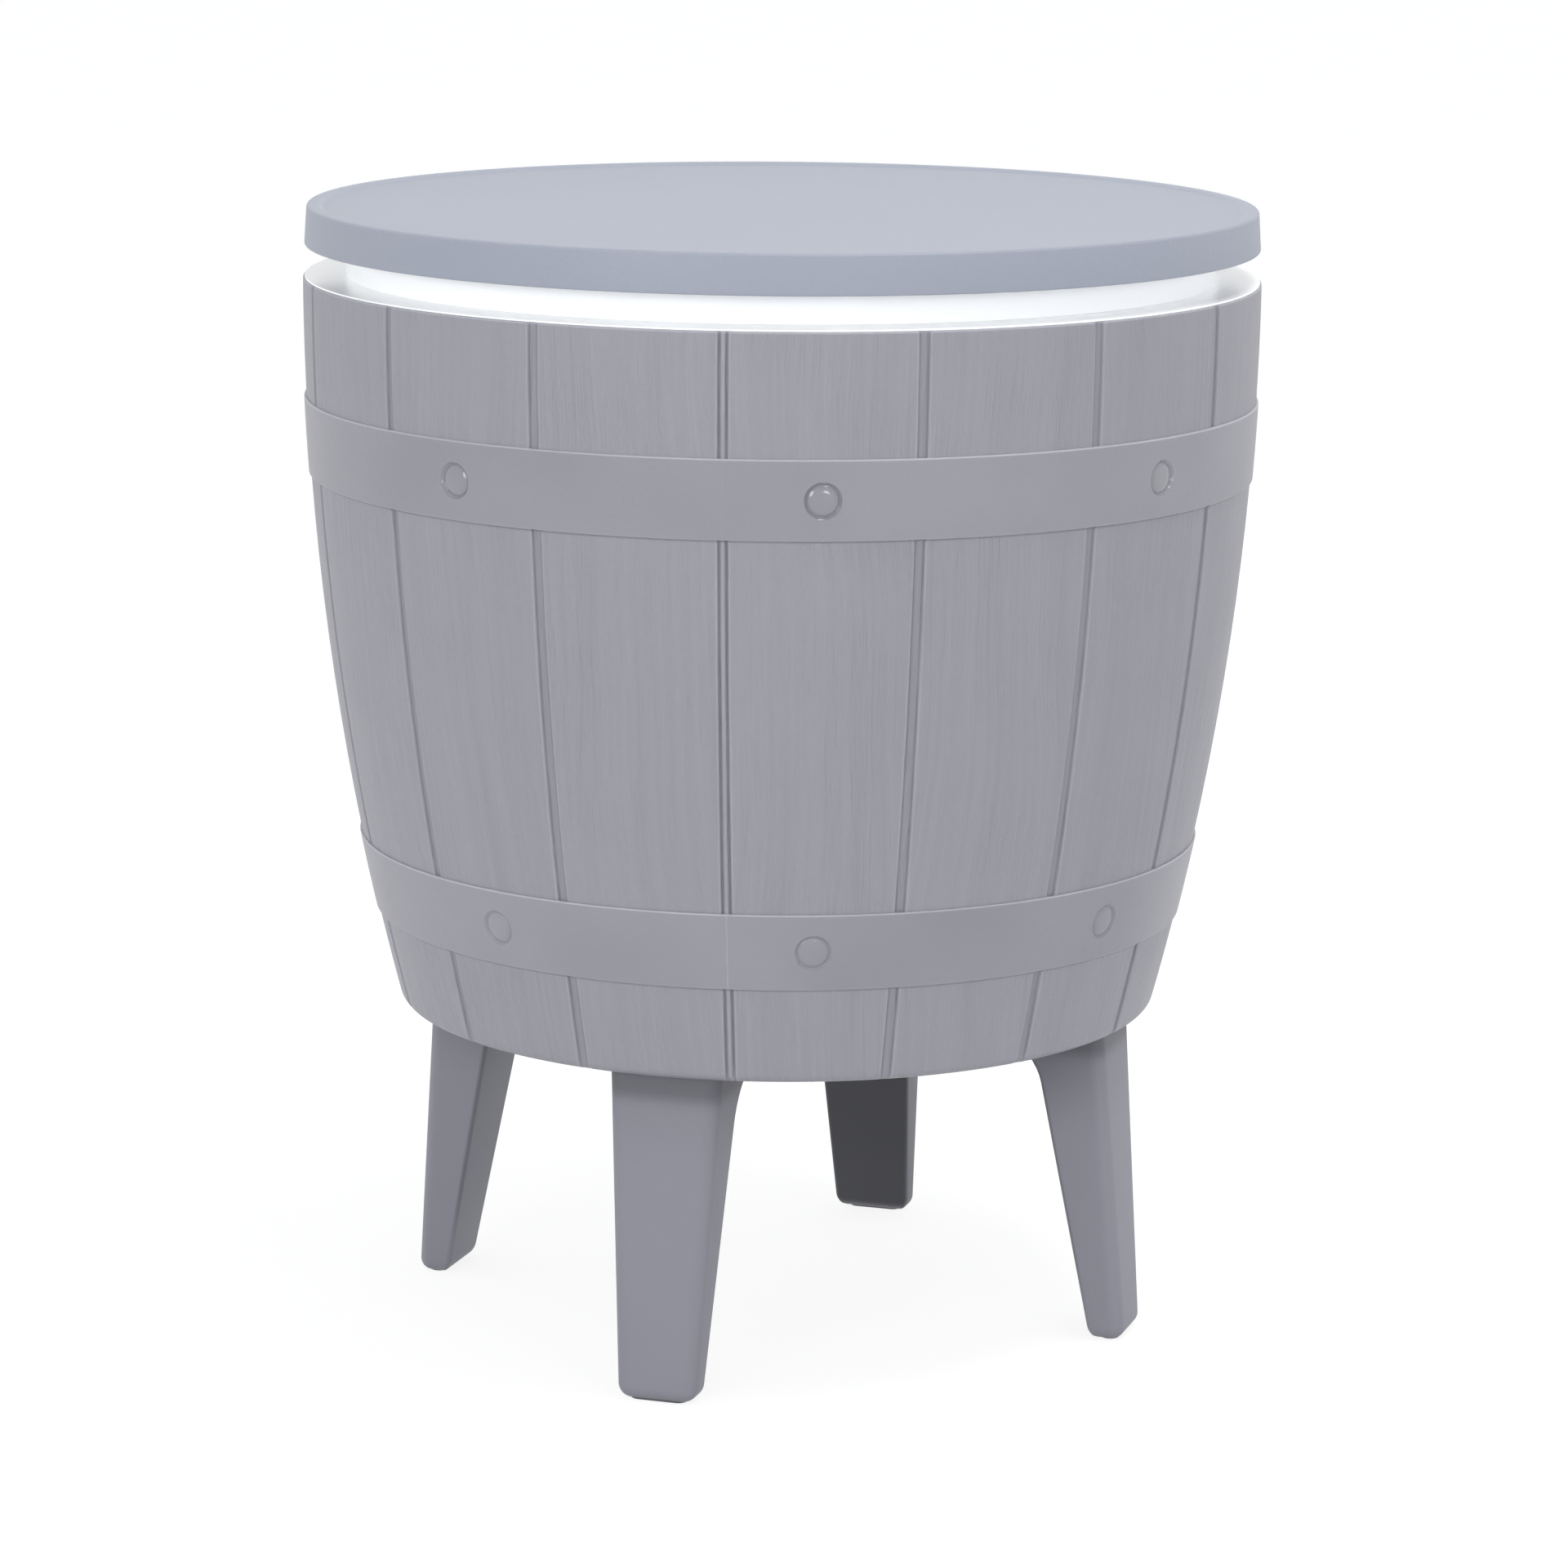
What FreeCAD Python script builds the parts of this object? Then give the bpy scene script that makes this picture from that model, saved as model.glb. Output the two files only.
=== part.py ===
"""Round cooler table: a barrel-shaped ice bucket on four splayed legs.

The round lid is the table top. It rides on a centre post that pulls up and twists to lock.
Millimetres, +Z up. The origin is on the floor, on the centre line of the barrel.
At rest the lid is closed and the legs stand on the diagonals.
"""

import FreeCAD, Part
import Sketcher
import math
import os

# Driving dimensions: name, value, what it is.
DIMENSIONS = [
    ("glide_height", 2.0, "how far each foot glide stands below its leg"),
    ("leg_length", 168.0, "leg, from its lower end to the underside of the barrel"),
    ("barrel_height", 382.2, "barrel, from its underside to its rim"),
    ("barrel_radius", 248.3, "outside of the staves at the rim"),
    ("stave_bow", 1500.0, "radius of the long curve of the staves"),
    ("barrel_wall", 3.5, "thickness of the barrel's side"),
    ("barrel_floor", 4.0, "thickness of the barrel's floor"),
    ("bottom_round", 7.0, "rounding of the barrel's lower edge"),
    ("stave_count", 16, "staves round the barrel"),
    ("groove_width", 4.0, "groove between two staves"),
    ("groove_depth", 1.8, "depth of that groove"),
    ("seam_groove_width", 6.5, "the two grooves that hold the mould's parting line"),
    ("seam_ridge_width", 1.0, "ridge left in them by the parting line"),
    ("seam_ridge_sunk", 0.5, "that ridge below the face of the staves"),
    ("hoop_height", 40.0, "height of each hoop"),
    ("hoop_proud", 1.2, "how far a hoop stands out from the staves"),
    ("hoop_round", 0.6, "rounding of a hoop's edges"),
    ("upper_hoop_drop", 61.4, "from the rim down to the upper hoop"),
    ("lower_hoop_rise", 51.2, "from the barrel's underside up to the lower hoop"),
    ("rivet_count", 8, "rivet heads on each hoop"),
    ("rivet_radius", 8.5, "rivet head"),
    ("upper_rivet_dome", 2.2, "crown of the rivet heads on the upper hoop"),
    ("lower_rivet_dome", 1.2, "crown of the rivet heads on the lower hoop"),
    ("lip_width", 2.6, "outer lip of the rim, outside the bucket's flange"),
    ("seat_width", 6.0, "shelf inside the lip, which carries the bucket's flange"),
    ("seat_thick", 3.0, "thickness of that shelf"),
    ("ledge_rise", 0.8, "how far the bucket's ledge stands above the barrel's rim"),
    ("ledge_thick", 3.0, "thickness of the bucket's flange"),
    ("mouth_inset", 26.8, "from the barrel's outside in to the mouth of the ice bucket"),
    ("basin_depth", 247.0, "ice bucket, from its ledge to its floor"),
    ("basin_draft", 23.5, "how much narrower the bucket is at its floor than at its mouth"),
    ("basin_round", 20.0, "rounding between the bucket's wall and floor"),
    ("bucket_wall", 3.0, "thickness of the ice bucket"),
    ("column_radius", 37.0, "centre column of the bucket, at its top"),
    ("column_draft", 2.0, "how much wider the column is at the basin floor"),
    ("column_round", 6.0, "rounding between the column and the basin floor"),
    ("column_drop", 5.0, "from the ledge down to the column's top"),
    ("post_radius", 25.0, "outside of the lift tube"),
    ("post_wall", 2.0, "wall of the lift tube"),
    ("guide_bore", 29.0, "bore of the fixed guide tube"),
    ("guide_wall", 4.0, "wall of the guide tube"),
    ("guide_top_gap", 3.0, "from the guide tube's top up to the column's top"),
    ("guide_seat", 3.0, "floor of the guide base under the guide tube"),
    ("guide_socket_height", 26.0, "height of the guide base's socket"),
    ("guide_socket_wall", 4.8, "wall of that socket"),
    ("guide_flange_radius", 54.0, "flange of the guide base"),
    ("guide_flange_thick", 5.0, "thickness of that flange"),
    ("guide_screw_circle", 45.0, "radius of the circle of the guide base's screws"),
    ("guide_boss_height", 14.0, "screw bosses of the guide base"),
    ("keyway_width", 5.6, "keyway in the guide tube"),
    ("keyway_depth", 1.8, "depth of the keyway"),
    ("key_gap", 0.3, "clearance of a key in its keyway"),
    ("lift_travel", 265.0, "how far the lid pulls up"),
    ("lift_stop_gap", 0.5, "room left at the raised stop"),
    ("carriage_rise", 16.0, "locking collar above the barrel's floor when closed"),
    ("carriage_height", 40.0, "height of the locking collar"),
    ("carriage_slit", 3.0, "slit that lets the locking collar spread"),
    ("journal_radius", 17.0, "journal of the end plug, inside the locking collar"),
    ("journal_flat", 1.0, "depth of the cam flats on the journal"),
    ("plug_flange_thick", 1.8, "flange of the end plug under the lift tube"),
    ("plug_spigot", 30.0, "length of the end plug inside the lift tube"),
    ("journal_tail", 6.0, "journal below the locking collar"),
    ("ring_thick", 2.0, "retaining ring on the journal"),
    ("ring_groove_depth", 1.4, "depth of its groove"),
    ("ring_radius", 23.0, "outside of the retaining ring"),
    ("running_gap", 0.08, "radial clearance of sliding and turning fits"),
    ("fit_gap", 0.15, "radial clearance of pieces fixed to each other"),
    ("free_gap", 0.4, "clearance where a piece moves past another"),
    ("collar_flange_radius", 43.0, "flange of the top collar"),
    ("collar_flange_thick", 4.0, "thickness of that flange"),
    ("collar_bevel", 2.0, "bevel of that flange's upper edge"),
    ("wiper_width", 3.1, "wiper ring, across its section"),
    ("wiper_height", 2.0, "wiper ring, height"),
    ("band_height", 16.1, "white band, from the ledge to the lid's skirt"),
    ("lid_inset", 0.8, "lower edge of the lid's skirt, inside the barrel's outside"),
    ("lid_height", 20.2, "lid, from the skirt's lower edge to the rim"),
    ("lid_draft", 1.3, "how much narrower the lid is at its rim"),
    ("lid_wall", 3.0, "wall of the table top"),
    ("lid_round", 2.5, "rounding of the table top's upper edge"),
    ("rim_width", 6.0, "raised rim of the table top"),
    ("rim_height", 1.3, "how far the rim stands above the table surface"),
    ("rim_slope", 2.5, "width of the slope from the rim to the table surface"),
    ("band_inset", 22.3, "from the barrel's outside in to the wall of the white underside"),
    ("underside_wall", 3.0, "thickness of the white underside"),
    ("rib_count", 8, "ribs under the table top"),
    ("rib_thick", 2.2, "thickness of a rib"),
    ("rib_height", 12.0, "depth of a rib"),
    ("post_flange_radius", 58.0, "flange that carries the lid on the lift tube"),
    ("post_flange_thick", 4.0, "thickness of that flange"),
    ("post_flange_drop", 5.0, "from the table's plate down to that flange"),
    ("hub_wall", 5.0, "wall of the post flange's hub"),
    ("hub_length", 20.0, "hub, from the flange's top to its lower end"),
    ("hub_pin_radius", 3.0, "cross pin through hub and tube"),
    ("hub_pin_drop", 13.0, "from the flange's top down to the cross pin"),
    ("plug_rivet_radius", 1.5, "rivets through the lift tube into its end plug"),
    ("plug_rivet_bite", 7.5, "how far they go into the plug"),
    ("flange_screw_circle", 46.0, "radius of the circle of the post flange's screws"),
    ("lid_screw_inset", 26.0, "from the white wall in to the circle of the lid's screws"),
    ("lid_screw_count", 8, "screws that hold the white underside"),
    ("cut_past", 1.0, "how far a cutting shape runs past the face it cuts"),
    ("screw_radius", 2.4, "shank of a screw"),
    ("screw_head_radius", 4.5, "head of a screw"),
    ("screw_head_height", 2.2, "height of that head"),
    ("screw_bite", 10.0, "how far a screw goes into its boss"),
    ("screw_pilot_gap", 0.1, "clearance of a screw in its boss"),
    ("screw_clear_gap", 0.5, "clearance of a screw in the piece it holds"),
    ("boss_radius", 6.5, "screw boss"),
    ("boss_tip", 3.0, "boss beyond the screw's end"),
    ("leg_inset", 12.6, "leg's outer face, inside the barrel's lower edge"),
    ("leg_splay", 12.5, "how far the leg leans out from the barrel down to the foot"),
    ("foot_depth", 18.5, "leg, front to back at the foot"),
    ("top_depth", 38.7, "the same at the barrel"),
    ("foot_width", 42.0, "leg, side to side at the foot"),
    ("top_width", 59.4, "the same at the barrel"),
    ("leg_round", 11.0, "rounding of a leg's outer long edges"),
    ("foot_round", 4.0, "rounding round the foot"),
    ("leg_wall", 5.0, "wall of the hollow leg"),
    ("leg_solid", 40.0, "solid lower end of the leg"),
    ("leg_flange_thick", 4.0, "mounting flange at the top of a leg"),
    ("leg_flange_run", 77.2, "that flange, from the leg's outer face to its inner end"),
    ("leg_flare", 25.0, "hollow curve between a leg and its flange"),
    ("leg_screw_inset", 9.0, "from the flange's inner end to the leg's screws"),
    ("leg_screw_half", 18.0, "half the distance between a leg's two screws"),
    ("lug_drop", 12.0, "lug of the barrel's floor, inside the hollow leg"),
    ("glide_length", 30.0, "foot glide, side to side"),
    ("glide_width", 10.0, "foot glide, front to back"),
    ("glide_stem_radius", 3.0, "stem of the glide, pushed into the leg"),
    ("glide_stem_length", 10.0, "length of that stem"),
    ("drain_reach", 120.0, "from the centre line to the drain"),
    ("drain_bore", 11.5, "bore of the drain pipe"),
    ("drain_wall", 2.5, "wall of the drain pipe"),
    ("drain_flange_width", 6.0, "flange of the drain pipe, beyond its outside"),
    ("drain_flange_thick", 2.5, "thickness of that flange"),
    ("drain_seal_thick", 1.5, "seal under that flange"),
    ("drain_nut_width", 7.0, "drain nut, beyond the pipe's outside"),
    ("drain_nut_height", 6.0, "height of the drain nut"),
    ("drain_plug_depth", 22.0, "drain plug inside the pipe"),
    ("drain_plug_head", 4.0, "head of the drain plug"),
    ("drain_tab_height", 12.0, "finger tab of the drain plug"),
    ("drain_tab_thick", 4.0, "thickness of that tab"),
]

# Levels, from the floor upwards, written in the driving dimensions.
FOOT = "dim.glide_height"
UNDERSIDE = "(dim.glide_height + dim.leg_length)"
FLOOR_TOP = f"({UNDERSIDE} + dim.barrel_floor)"
RIM = f"({UNDERSIDE} + dim.barrel_height)"
LEDGE = f"({RIM} + dim.ledge_rise)"
SEAT = f"({LEDGE} - dim.ledge_thick)"
BASIN = f"({LEDGE} - dim.basin_depth)"
COLUMN_TOP = f"({LEDGE} - dim.column_drop)"
SKIRT = f"({LEDGE} + dim.band_height)"
LID_RIM = f"({SKIRT} + dim.lid_height)"
TABLE = f"({LID_RIM} - dim.rim_height)"
PLATE = f"({TABLE} - dim.lid_wall)"
FLANGE_TOP = f"({PLATE} - dim.post_flange_drop)"
FLANGE_LOW = f"({FLANGE_TOP} - dim.post_flange_thick)"
PANEL_TOP = f"({LEDGE} + dim.underside_wall)"

# Levels of the sliding parts with the lid closed.
CARRIAGE = f"({FLOOR_TOP} + dim.carriage_rise)"
CARRIAGE_TOP = f"({CARRIAGE} + dim.carriage_height)"
PLUG_FLANGE = f"({CARRIAGE_TOP} + dim.free_gap)"
TUBE_LOW = f"({PLUG_FLANGE} + dim.plug_flange_thick)"
JOURNAL_LOW = f"({CARRIAGE} - dim.journal_tail)"
RING_TOP = f"({CARRIAGE} - dim.free_gap)"
BUSH_LOW = f"({CARRIAGE_TOP} + dim.lift_travel + dim.lift_stop_gap)"

# The parting line runs in this groove, counted from the right-hand side, and in the one opposite.
SEAM_GROOVE = 2

# Radii that more than one piece shares.
MOUTH = "(dim.barrel_radius - dim.mouth_inset)"
BASIN_WALL = f"({MOUTH} - dim.basin_draft)"
BAND = "(dim.barrel_radius - dim.band_inset)"
LID = "(dim.barrel_radius - dim.lid_inset)"
BARREL_FOOT = "(dim.barrel_radius - dim.stave_bow + sqrt(dim.stave_bow ^ 2 - dim.barrel_height ^ 2))"
LEG_TOP = f"({BARREL_FOOT} - dim.leg_inset)"
LEG_FOOT = f"({LEG_TOP} + dim.leg_splay)"
FLANGE_END = f"({LEG_TOP} - dim.leg_flange_run)"
LEG_SCREW_REACH = f"({FLANGE_END} + dim.leg_screw_inset)"
GUIDE_OUTSIDE = "(dim.guide_bore + dim.guide_wall)"
COLUMN_BORE = "(dim.column_radius - dim.bucket_wall)"
DRAIN_OUTSIDE = "(dim.drain_bore + dim.drain_wall)"
PILOT = "(dim.screw_radius + dim.screw_pilot_gap)"
CLEAR = "(dim.screw_radius + dim.screw_clear_gap)"

LEG_NAMES = {
    45: "rear_right",
    135: "rear_left",
    225: "front_left",
    315: "front_right",
}

doc = FreeCAD.newDocument("cooler_table")
sheet = doc.addObject("Spreadsheet::Sheet", "dim")
for row, (alias, value, note) in enumerate(DIMENSIONS, start=1):
    sheet.set(f"A{row}", alias)
    sheet.set(f"B{row}", str(value))
    sheet.set(f"C{row}", note)
    sheet.setAlias(f"B{row}", alias)
doc.recompute()

SIZES = {alias: value for alias, value, note in DIMENSIONS}
subparts = []


def measure(expression):
    """The value of an expression in the driving dimensions, as a plain number."""
    return float(sheet.evalExpression(expression.replace("dim.", "")))


def bind(item, **expressions):
    """Ties properties to expressions. A double underscore in a name stands for a dot."""
    for name, expression in expressions.items():
        item.setExpression(name.replace("__", "."), str(expression))
    return item


def place(item, east="0", north="0", up="0"):
    """Ties the item's place to three expressions."""
    return bind(item, Placement__Base__x=east, Placement__Base__y=north, Placement__Base__z=up)


def cylinder(name, radius, low, high, east="0", north="0"):
    """An upright cylinder between two levels."""
    item = doc.addObject("Part::Cylinder", name)
    bind(item, Radius=radius, Height=f"({high}) - ({low})")
    return place(item, east, north, low)


def block(name, length, width, low, high, east="0", north="0"):
    """An upright block, centred on a point, between two levels."""
    item = doc.addObject("Part::Box", name)
    bind(item, Length=length, Width=width, Height=f"({high}) - ({low})")
    return place(item, f"{east} - ({length}) / 2", f"{north} - ({width}) / 2", low)


def turned_block(name, length, width, low, high, reach, angle):
    """An upright block that starts at a reach from the centre line and points outwards."""
    item = doc.addObject("Part::Box", name)
    bind(item, Length=length, Width=width, Height=f"({high}) - ({low})", Placement__Rotation__Angle=angle)
    return place(
        item,
        f"({reach}) * cos({angle}) + ({width}) / 2 * sin({angle})",
        f"({reach}) * sin({angle}) - ({width}) / 2 * cos({angle})",
        low,
    )


def on_circle(radius, angle, aside="0"):
    """East and north of a point at an angle on a circle, moved aside along the circle."""
    east = f"({radius}) * cos({angle}) - ({aside}) * sin({angle})"
    north = f"({radius}) * sin({angle}) + ({aside}) * cos({angle})"
    return east, north


def past(low, high):
    """Two levels moved apart, so that a cutting shape runs past both faces."""
    return f"({low}) - dim.cut_past", f"({high}) + dim.cut_past"


def fuse(name, items):
    item = doc.addObject("Part::MultiFuse", name)
    item.Shapes = items
    item.Refine = True
    return item


def cut(name, base, tools):
    item = doc.addObject("Part::Cut", name)
    item.Base = base
    item.Tool = tools[0] if len(tools) == 1 else group(name + "_tools", tools)
    return item


def common(name, first, second):
    item = doc.addObject("Part::Common", name)
    item.Base = first
    item.Tool = second
    return item


def group(name, items):
    item = doc.addObject("Part::Compound", name)
    item.Links = items
    return item


def ring(name, outer, inner, low, high, east="0", north="0"):
    """A plain ring between two levels."""
    outside = cylinder(name + "_outside", outer, low, high, east, north)
    inside = cylinder(name + "_inside", inner, low, high, east, north)
    return cut(name, outside, [inside])


def subpart(item, label):
    """Gives a finished piece the name that its file takes."""
    item.Label = label
    subparts.append(item)
    return item


def sketch_on(body, role, name):
    """A sketch on one of the body's own origin planes."""
    sketch = body.newObject("Sketcher::SketchObject", name)
    plane = [item for item in body.Origin.OriginFeatures if item.Role == role][0]
    sketch.AttachmentSupport = [(plane, "")]
    sketch.MapMode = "FlatFace"
    return sketch


def pin_point(sketch, geometry, end, across, up):
    """Ties one end of a sketch line to two expressions, across and up from the origin."""
    for kind, expression in (("DistanceX", across), ("DistanceY", up)):
        index = sketch.addConstraint(Sketcher.Constraint(kind, geometry, end, measure(expression)))
        sketch.setExpression(f"Constraints[{index}]", expression)


def arc_through(start, end, radius, side):
    """An arc from start to end whose centre lies on the given side of the chord."""
    chord = end.sub(start)
    middle = (start + end).multiply(0.5)
    reach = math.sqrt(radius**2 - (chord.Length / 2) ** 2)
    across = FreeCAD.Vector(-chord.y, chord.x, 0).normalize()
    centre = middle + across.multiply(side * reach)
    first = math.atan2(start.y - centre.y, start.x - centre.x)
    last = math.atan2(end.y - centre.y, end.x - centre.x)
    circle = Part.Circle(centre, FreeCAD.Vector(0, 0, 1), radius)
    if side > 0:
        return Part.ArcOfCircle(circle, first, last), 1, 2
    return Part.ArcOfCircle(circle, last, first), 2, 1


def draw_outline(sketch, corners, arcs=None):
    """A closed outline through corners given as expressions.

    arcs gives, for a side counted from its first corner, its radius and the side that its centre is on.
    """
    arcs = arcs or {}
    points = [FreeCAD.Vector(measure(across), measure(up), 0) for across, up in corners]
    ends = []
    for number, start in enumerate(points):
        end = points[(number + 1) % len(points)]
        if number in arcs:
            radius, side = arcs[number]
            shape, first, last = arc_through(start, end, measure(radius), side)
        else:
            shape, first, last = Part.LineSegment(start, end), 1, 2
        ends.append((first, last))
        sketch.addGeometry(shape, False)
    for number in range(len(points)):
        after = (number + 1) % len(points)
        joint = ("Coincident", number, ends[number][1], after, ends[after][0])
        sketch.addConstraint(Sketcher.Constraint(*joint))
    for number, (across, up) in enumerate(corners):
        pin_point(sketch, number, ends[number][0], across, up)
    for number, (radius, side) in arcs.items():
        index = sketch.addConstraint(Sketcher.Constraint("Radius", number, measure(radius)))
        sketch.setExpression(f"Constraints[{index}]", radius)


def lathe(name, corners, arcs=None):
    """A body of revolution about the centre line, from an outline of reach and level."""
    body = doc.addObject("PartDesign::Body", name)
    sketch = sketch_on(body, "XZ_Plane", name + "_outline")
    draw_outline(sketch, corners, arcs)
    turn = body.newObject("PartDesign::Revolution", name + "_turn")
    turn.Profile = sketch
    turn.ReferenceAxis = (sketch, ["V_Axis"])
    turn.Angle = 360
    sketch.Visibility = False
    doc.recompute()
    return body


def round_edges(body, name, radius, chosen):
    """Rounds the edges of the body for which chosen(edge) is true."""
    tip = body.Tip
    names = [f"Edge{n}" for n, edge in enumerate(tip.Shape.Edges, start=1) if chosen(edge)]
    if not names:
        raise ValueError(f"{name} finds no edge")
    fillet = body.newObject("PartDesign::Fillet", name)
    fillet.Base = (tip, names)
    bind(fillet, Radius=radius)
    doc.recompute()
    return body


def is_circle_at(edge, radius, level):
    """True for a full circle of this radius at this level."""
    box = edge.BoundBox
    wide = abs(box.XMax - measure(radius)) < 0.01 and abs(box.XMin + measure(radius)) < 0.01
    flat = box.ZLength < 0.01 and abs(box.ZMin - measure(level)) < 0.01
    return wide and flat


def stave_reach(level, outward="0"):
    """Radius of the staves' long curve at a level, moved outwards by an offset."""
    bow = f"(dim.stave_bow + {outward})"
    return f"(dim.barrel_radius - dim.stave_bow + sqrt({bow} ^ 2 - (({level}) - {RIM}) ^ 2))"


def bowed_ring(name, low, high, outward, inward):
    """A ring between two levels whose sides follow the staves' long curve."""
    corners = [
        (stave_reach(low, outward), low),
        (stave_reach(high, outward), high),
        (stave_reach(high, inward), high),
        (stave_reach(low, inward), low),
    ]
    arcs = {0: (f"dim.stave_bow + {outward}", 1), 2: (f"dim.stave_bow + {inward}", -1)}
    return lathe(name, corners, arcs)


def screws(name, places, head_low, tip):
    """A set of pan-head screws pointing up. Each head starts at head_low."""
    items = []
    for number, (east, north) in enumerate(places):
        neck = f"{head_low} + dim.screw_head_height"
        head = cylinder(f"{name}_head_{number}", "dim.screw_head_radius", head_low, neck, east, north)
        shank = cylinder(f"{name}_shank_{number}", "dim.screw_radius", head_low, tip, east, north)
        items.append(fuse(f"{name}_{number}", [head, shank]))
    return subpart(group(name, items), name)


def posts(name, radius, low, high, places):
    """Equal upright cylinders at several places."""
    return [cylinder(f"{name}_{n}", radius, low, high, *spot) for n, spot in enumerate(places)]


# Places that the pieces of more than one group share.
LEG_SCREWS = [
    on_circle(LEG_SCREW_REACH, angle, f"{side} * dim.leg_screw_half")
    for angle in LEG_NAMES
    for side in (-1, 1)
]
GUIDE_SCREWS = [on_circle("dim.guide_screw_circle", angle) for angle in (0, 90, 180, 270)]
FLANGE_SCREWS = [on_circle("dim.flange_screw_circle", angle) for angle in (45, 135, 225, 315)]
LID_SCREWS = [
    on_circle(f"{BAND} - dim.lid_screw_inset", f"{n} * 360 / dim.lid_screw_count")
    for n in range(int(SIZES["lid_screw_count"]))
]
DRAIN = on_circle("dim.drain_reach", 0)


# The hollow of a leg, whose slope also sets the lug that it fits over.
def leg_size(foot, top, level):
    """A size of the leg at a level, between its values at the foot and at the barrel."""
    share = f"(({level}) - {FOOT}) / dim.leg_length"
    return f"({foot} + ({top} - {foot}) * {share})"


def hollow_sides(level):
    """Outer reach, inner reach and half width of a leg's hollow at a level."""
    reach = leg_size(LEG_FOOT, LEG_TOP, level)
    depth = leg_size("dim.foot_depth", "dim.top_depth", level)
    width = leg_size("dim.foot_width", "dim.top_width", level)
    outer = f"({reach} - dim.leg_wall)"
    inner = f"({reach} - {depth} + dim.leg_wall)"
    return outer, inner, f"({width} / 2 - dim.leg_wall)"


def stave_grooves():
    """Grooves between the staves: upright slots, kept to a thin layer of the side."""
    below = f"{UNDERSIDE} - dim.barrel_wall"
    above = f"{RIM} + dim.barrel_wall"
    layer = bowed_ring("groove_layer", below, above, "dim.barrel_wall", "-dim.groove_depth")
    inner = "dim.barrel_radius / 2"
    length = f"{inner} + dim.barrel_wall"
    count = int(SIZES["stave_count"])
    slots = []
    for number in range(count):
        angle = f"({number} + 0.5) * 360 / dim.stave_count"
        seam = number % (count // 2) == SEAM_GROOVE
        width = "dim.seam_groove_width" if seam else "dim.groove_width"
        slots.append(turned_block(f"slot_{number}", length, width, below, above, inner, angle))
    return common("grooves", group("slots", slots), layer)


def seam_ridges():
    """Thin upright ridges in the two grooves that hold the mould's parting line."""
    low = f"({UNDERSIDE} + dim.bottom_round)"
    inside = "-(dim.groove_depth + dim.lip_width) / 2"
    layer = bowed_ring("ridge_layer", low, RIM, "-dim.seam_ridge_sunk", inside)
    inner = "dim.barrel_radius / 2"
    blades = []
    for number in (SEAM_GROOVE, SEAM_GROOVE + int(SIZES["stave_count"]) // 2):
        angle = f"({number} + 0.5) * 360 / dim.stave_count"
        blade = turned_block(f"ridge_{number}", inner, "dim.seam_ridge_width", low, RIM, inner, angle)
        blades.append(common(f"seam_ridge_{number}", blade, layer))
    return blades


def rivet_heads(name, low, dome):
    """Domed rivet heads round the middle of a hoop, square to its surface."""
    level = f"({low} + dim.hoop_height / 2)"
    reach = stave_reach(level, "dim.hoop_proud")
    tilt = math.degrees(math.asin((measure(RIM) - measure(level)) / measure("dim.stave_bow")))
    ball = f"((dim.rivet_radius ^ 2 + {dome} ^ 2) / (2 * {dome}))"
    heads = []
    for number in range(int(SIZES["rivet_count"])):
        angle = (number + 0.5) * 360 / SIZES["rivet_count"]
        square = FreeCAD.Rotation(FreeCAD.Vector(0, 0, 1), angle)
        square = square.multiply(FreeCAD.Rotation(FreeCAD.Vector(0, 1, 0), 90 + tilt))
        inwards = f"(dim.hoop_proud * cos({tilt}))"
        east, north = on_circle(f"{reach} - {inwards}", angle)
        barrel = doc.addObject("Part::Cylinder", f"{name}_plug_{number}")
        bind(barrel, Radius="dim.rivet_radius", Height=f"dim.hoop_proud + {dome}")
        barrel.Placement.Rotation = square
        place(barrel, east, north, f"{level} + dim.hoop_proud * sin({tilt})")
        crown = doc.addObject("Part::Sphere", f"{name}_crown_{number}")
        bind(crown, Radius=ball)
        sunk = f"({ball} - {dome})"
        east, north = on_circle(f"{reach} - {sunk} * cos({tilt})", angle)
        place(crown, east, north, f"{level} + {sunk} * sin({tilt})")
        heads.append(common(f"{name}_{number}", barrel, crown))
    return heads


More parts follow.
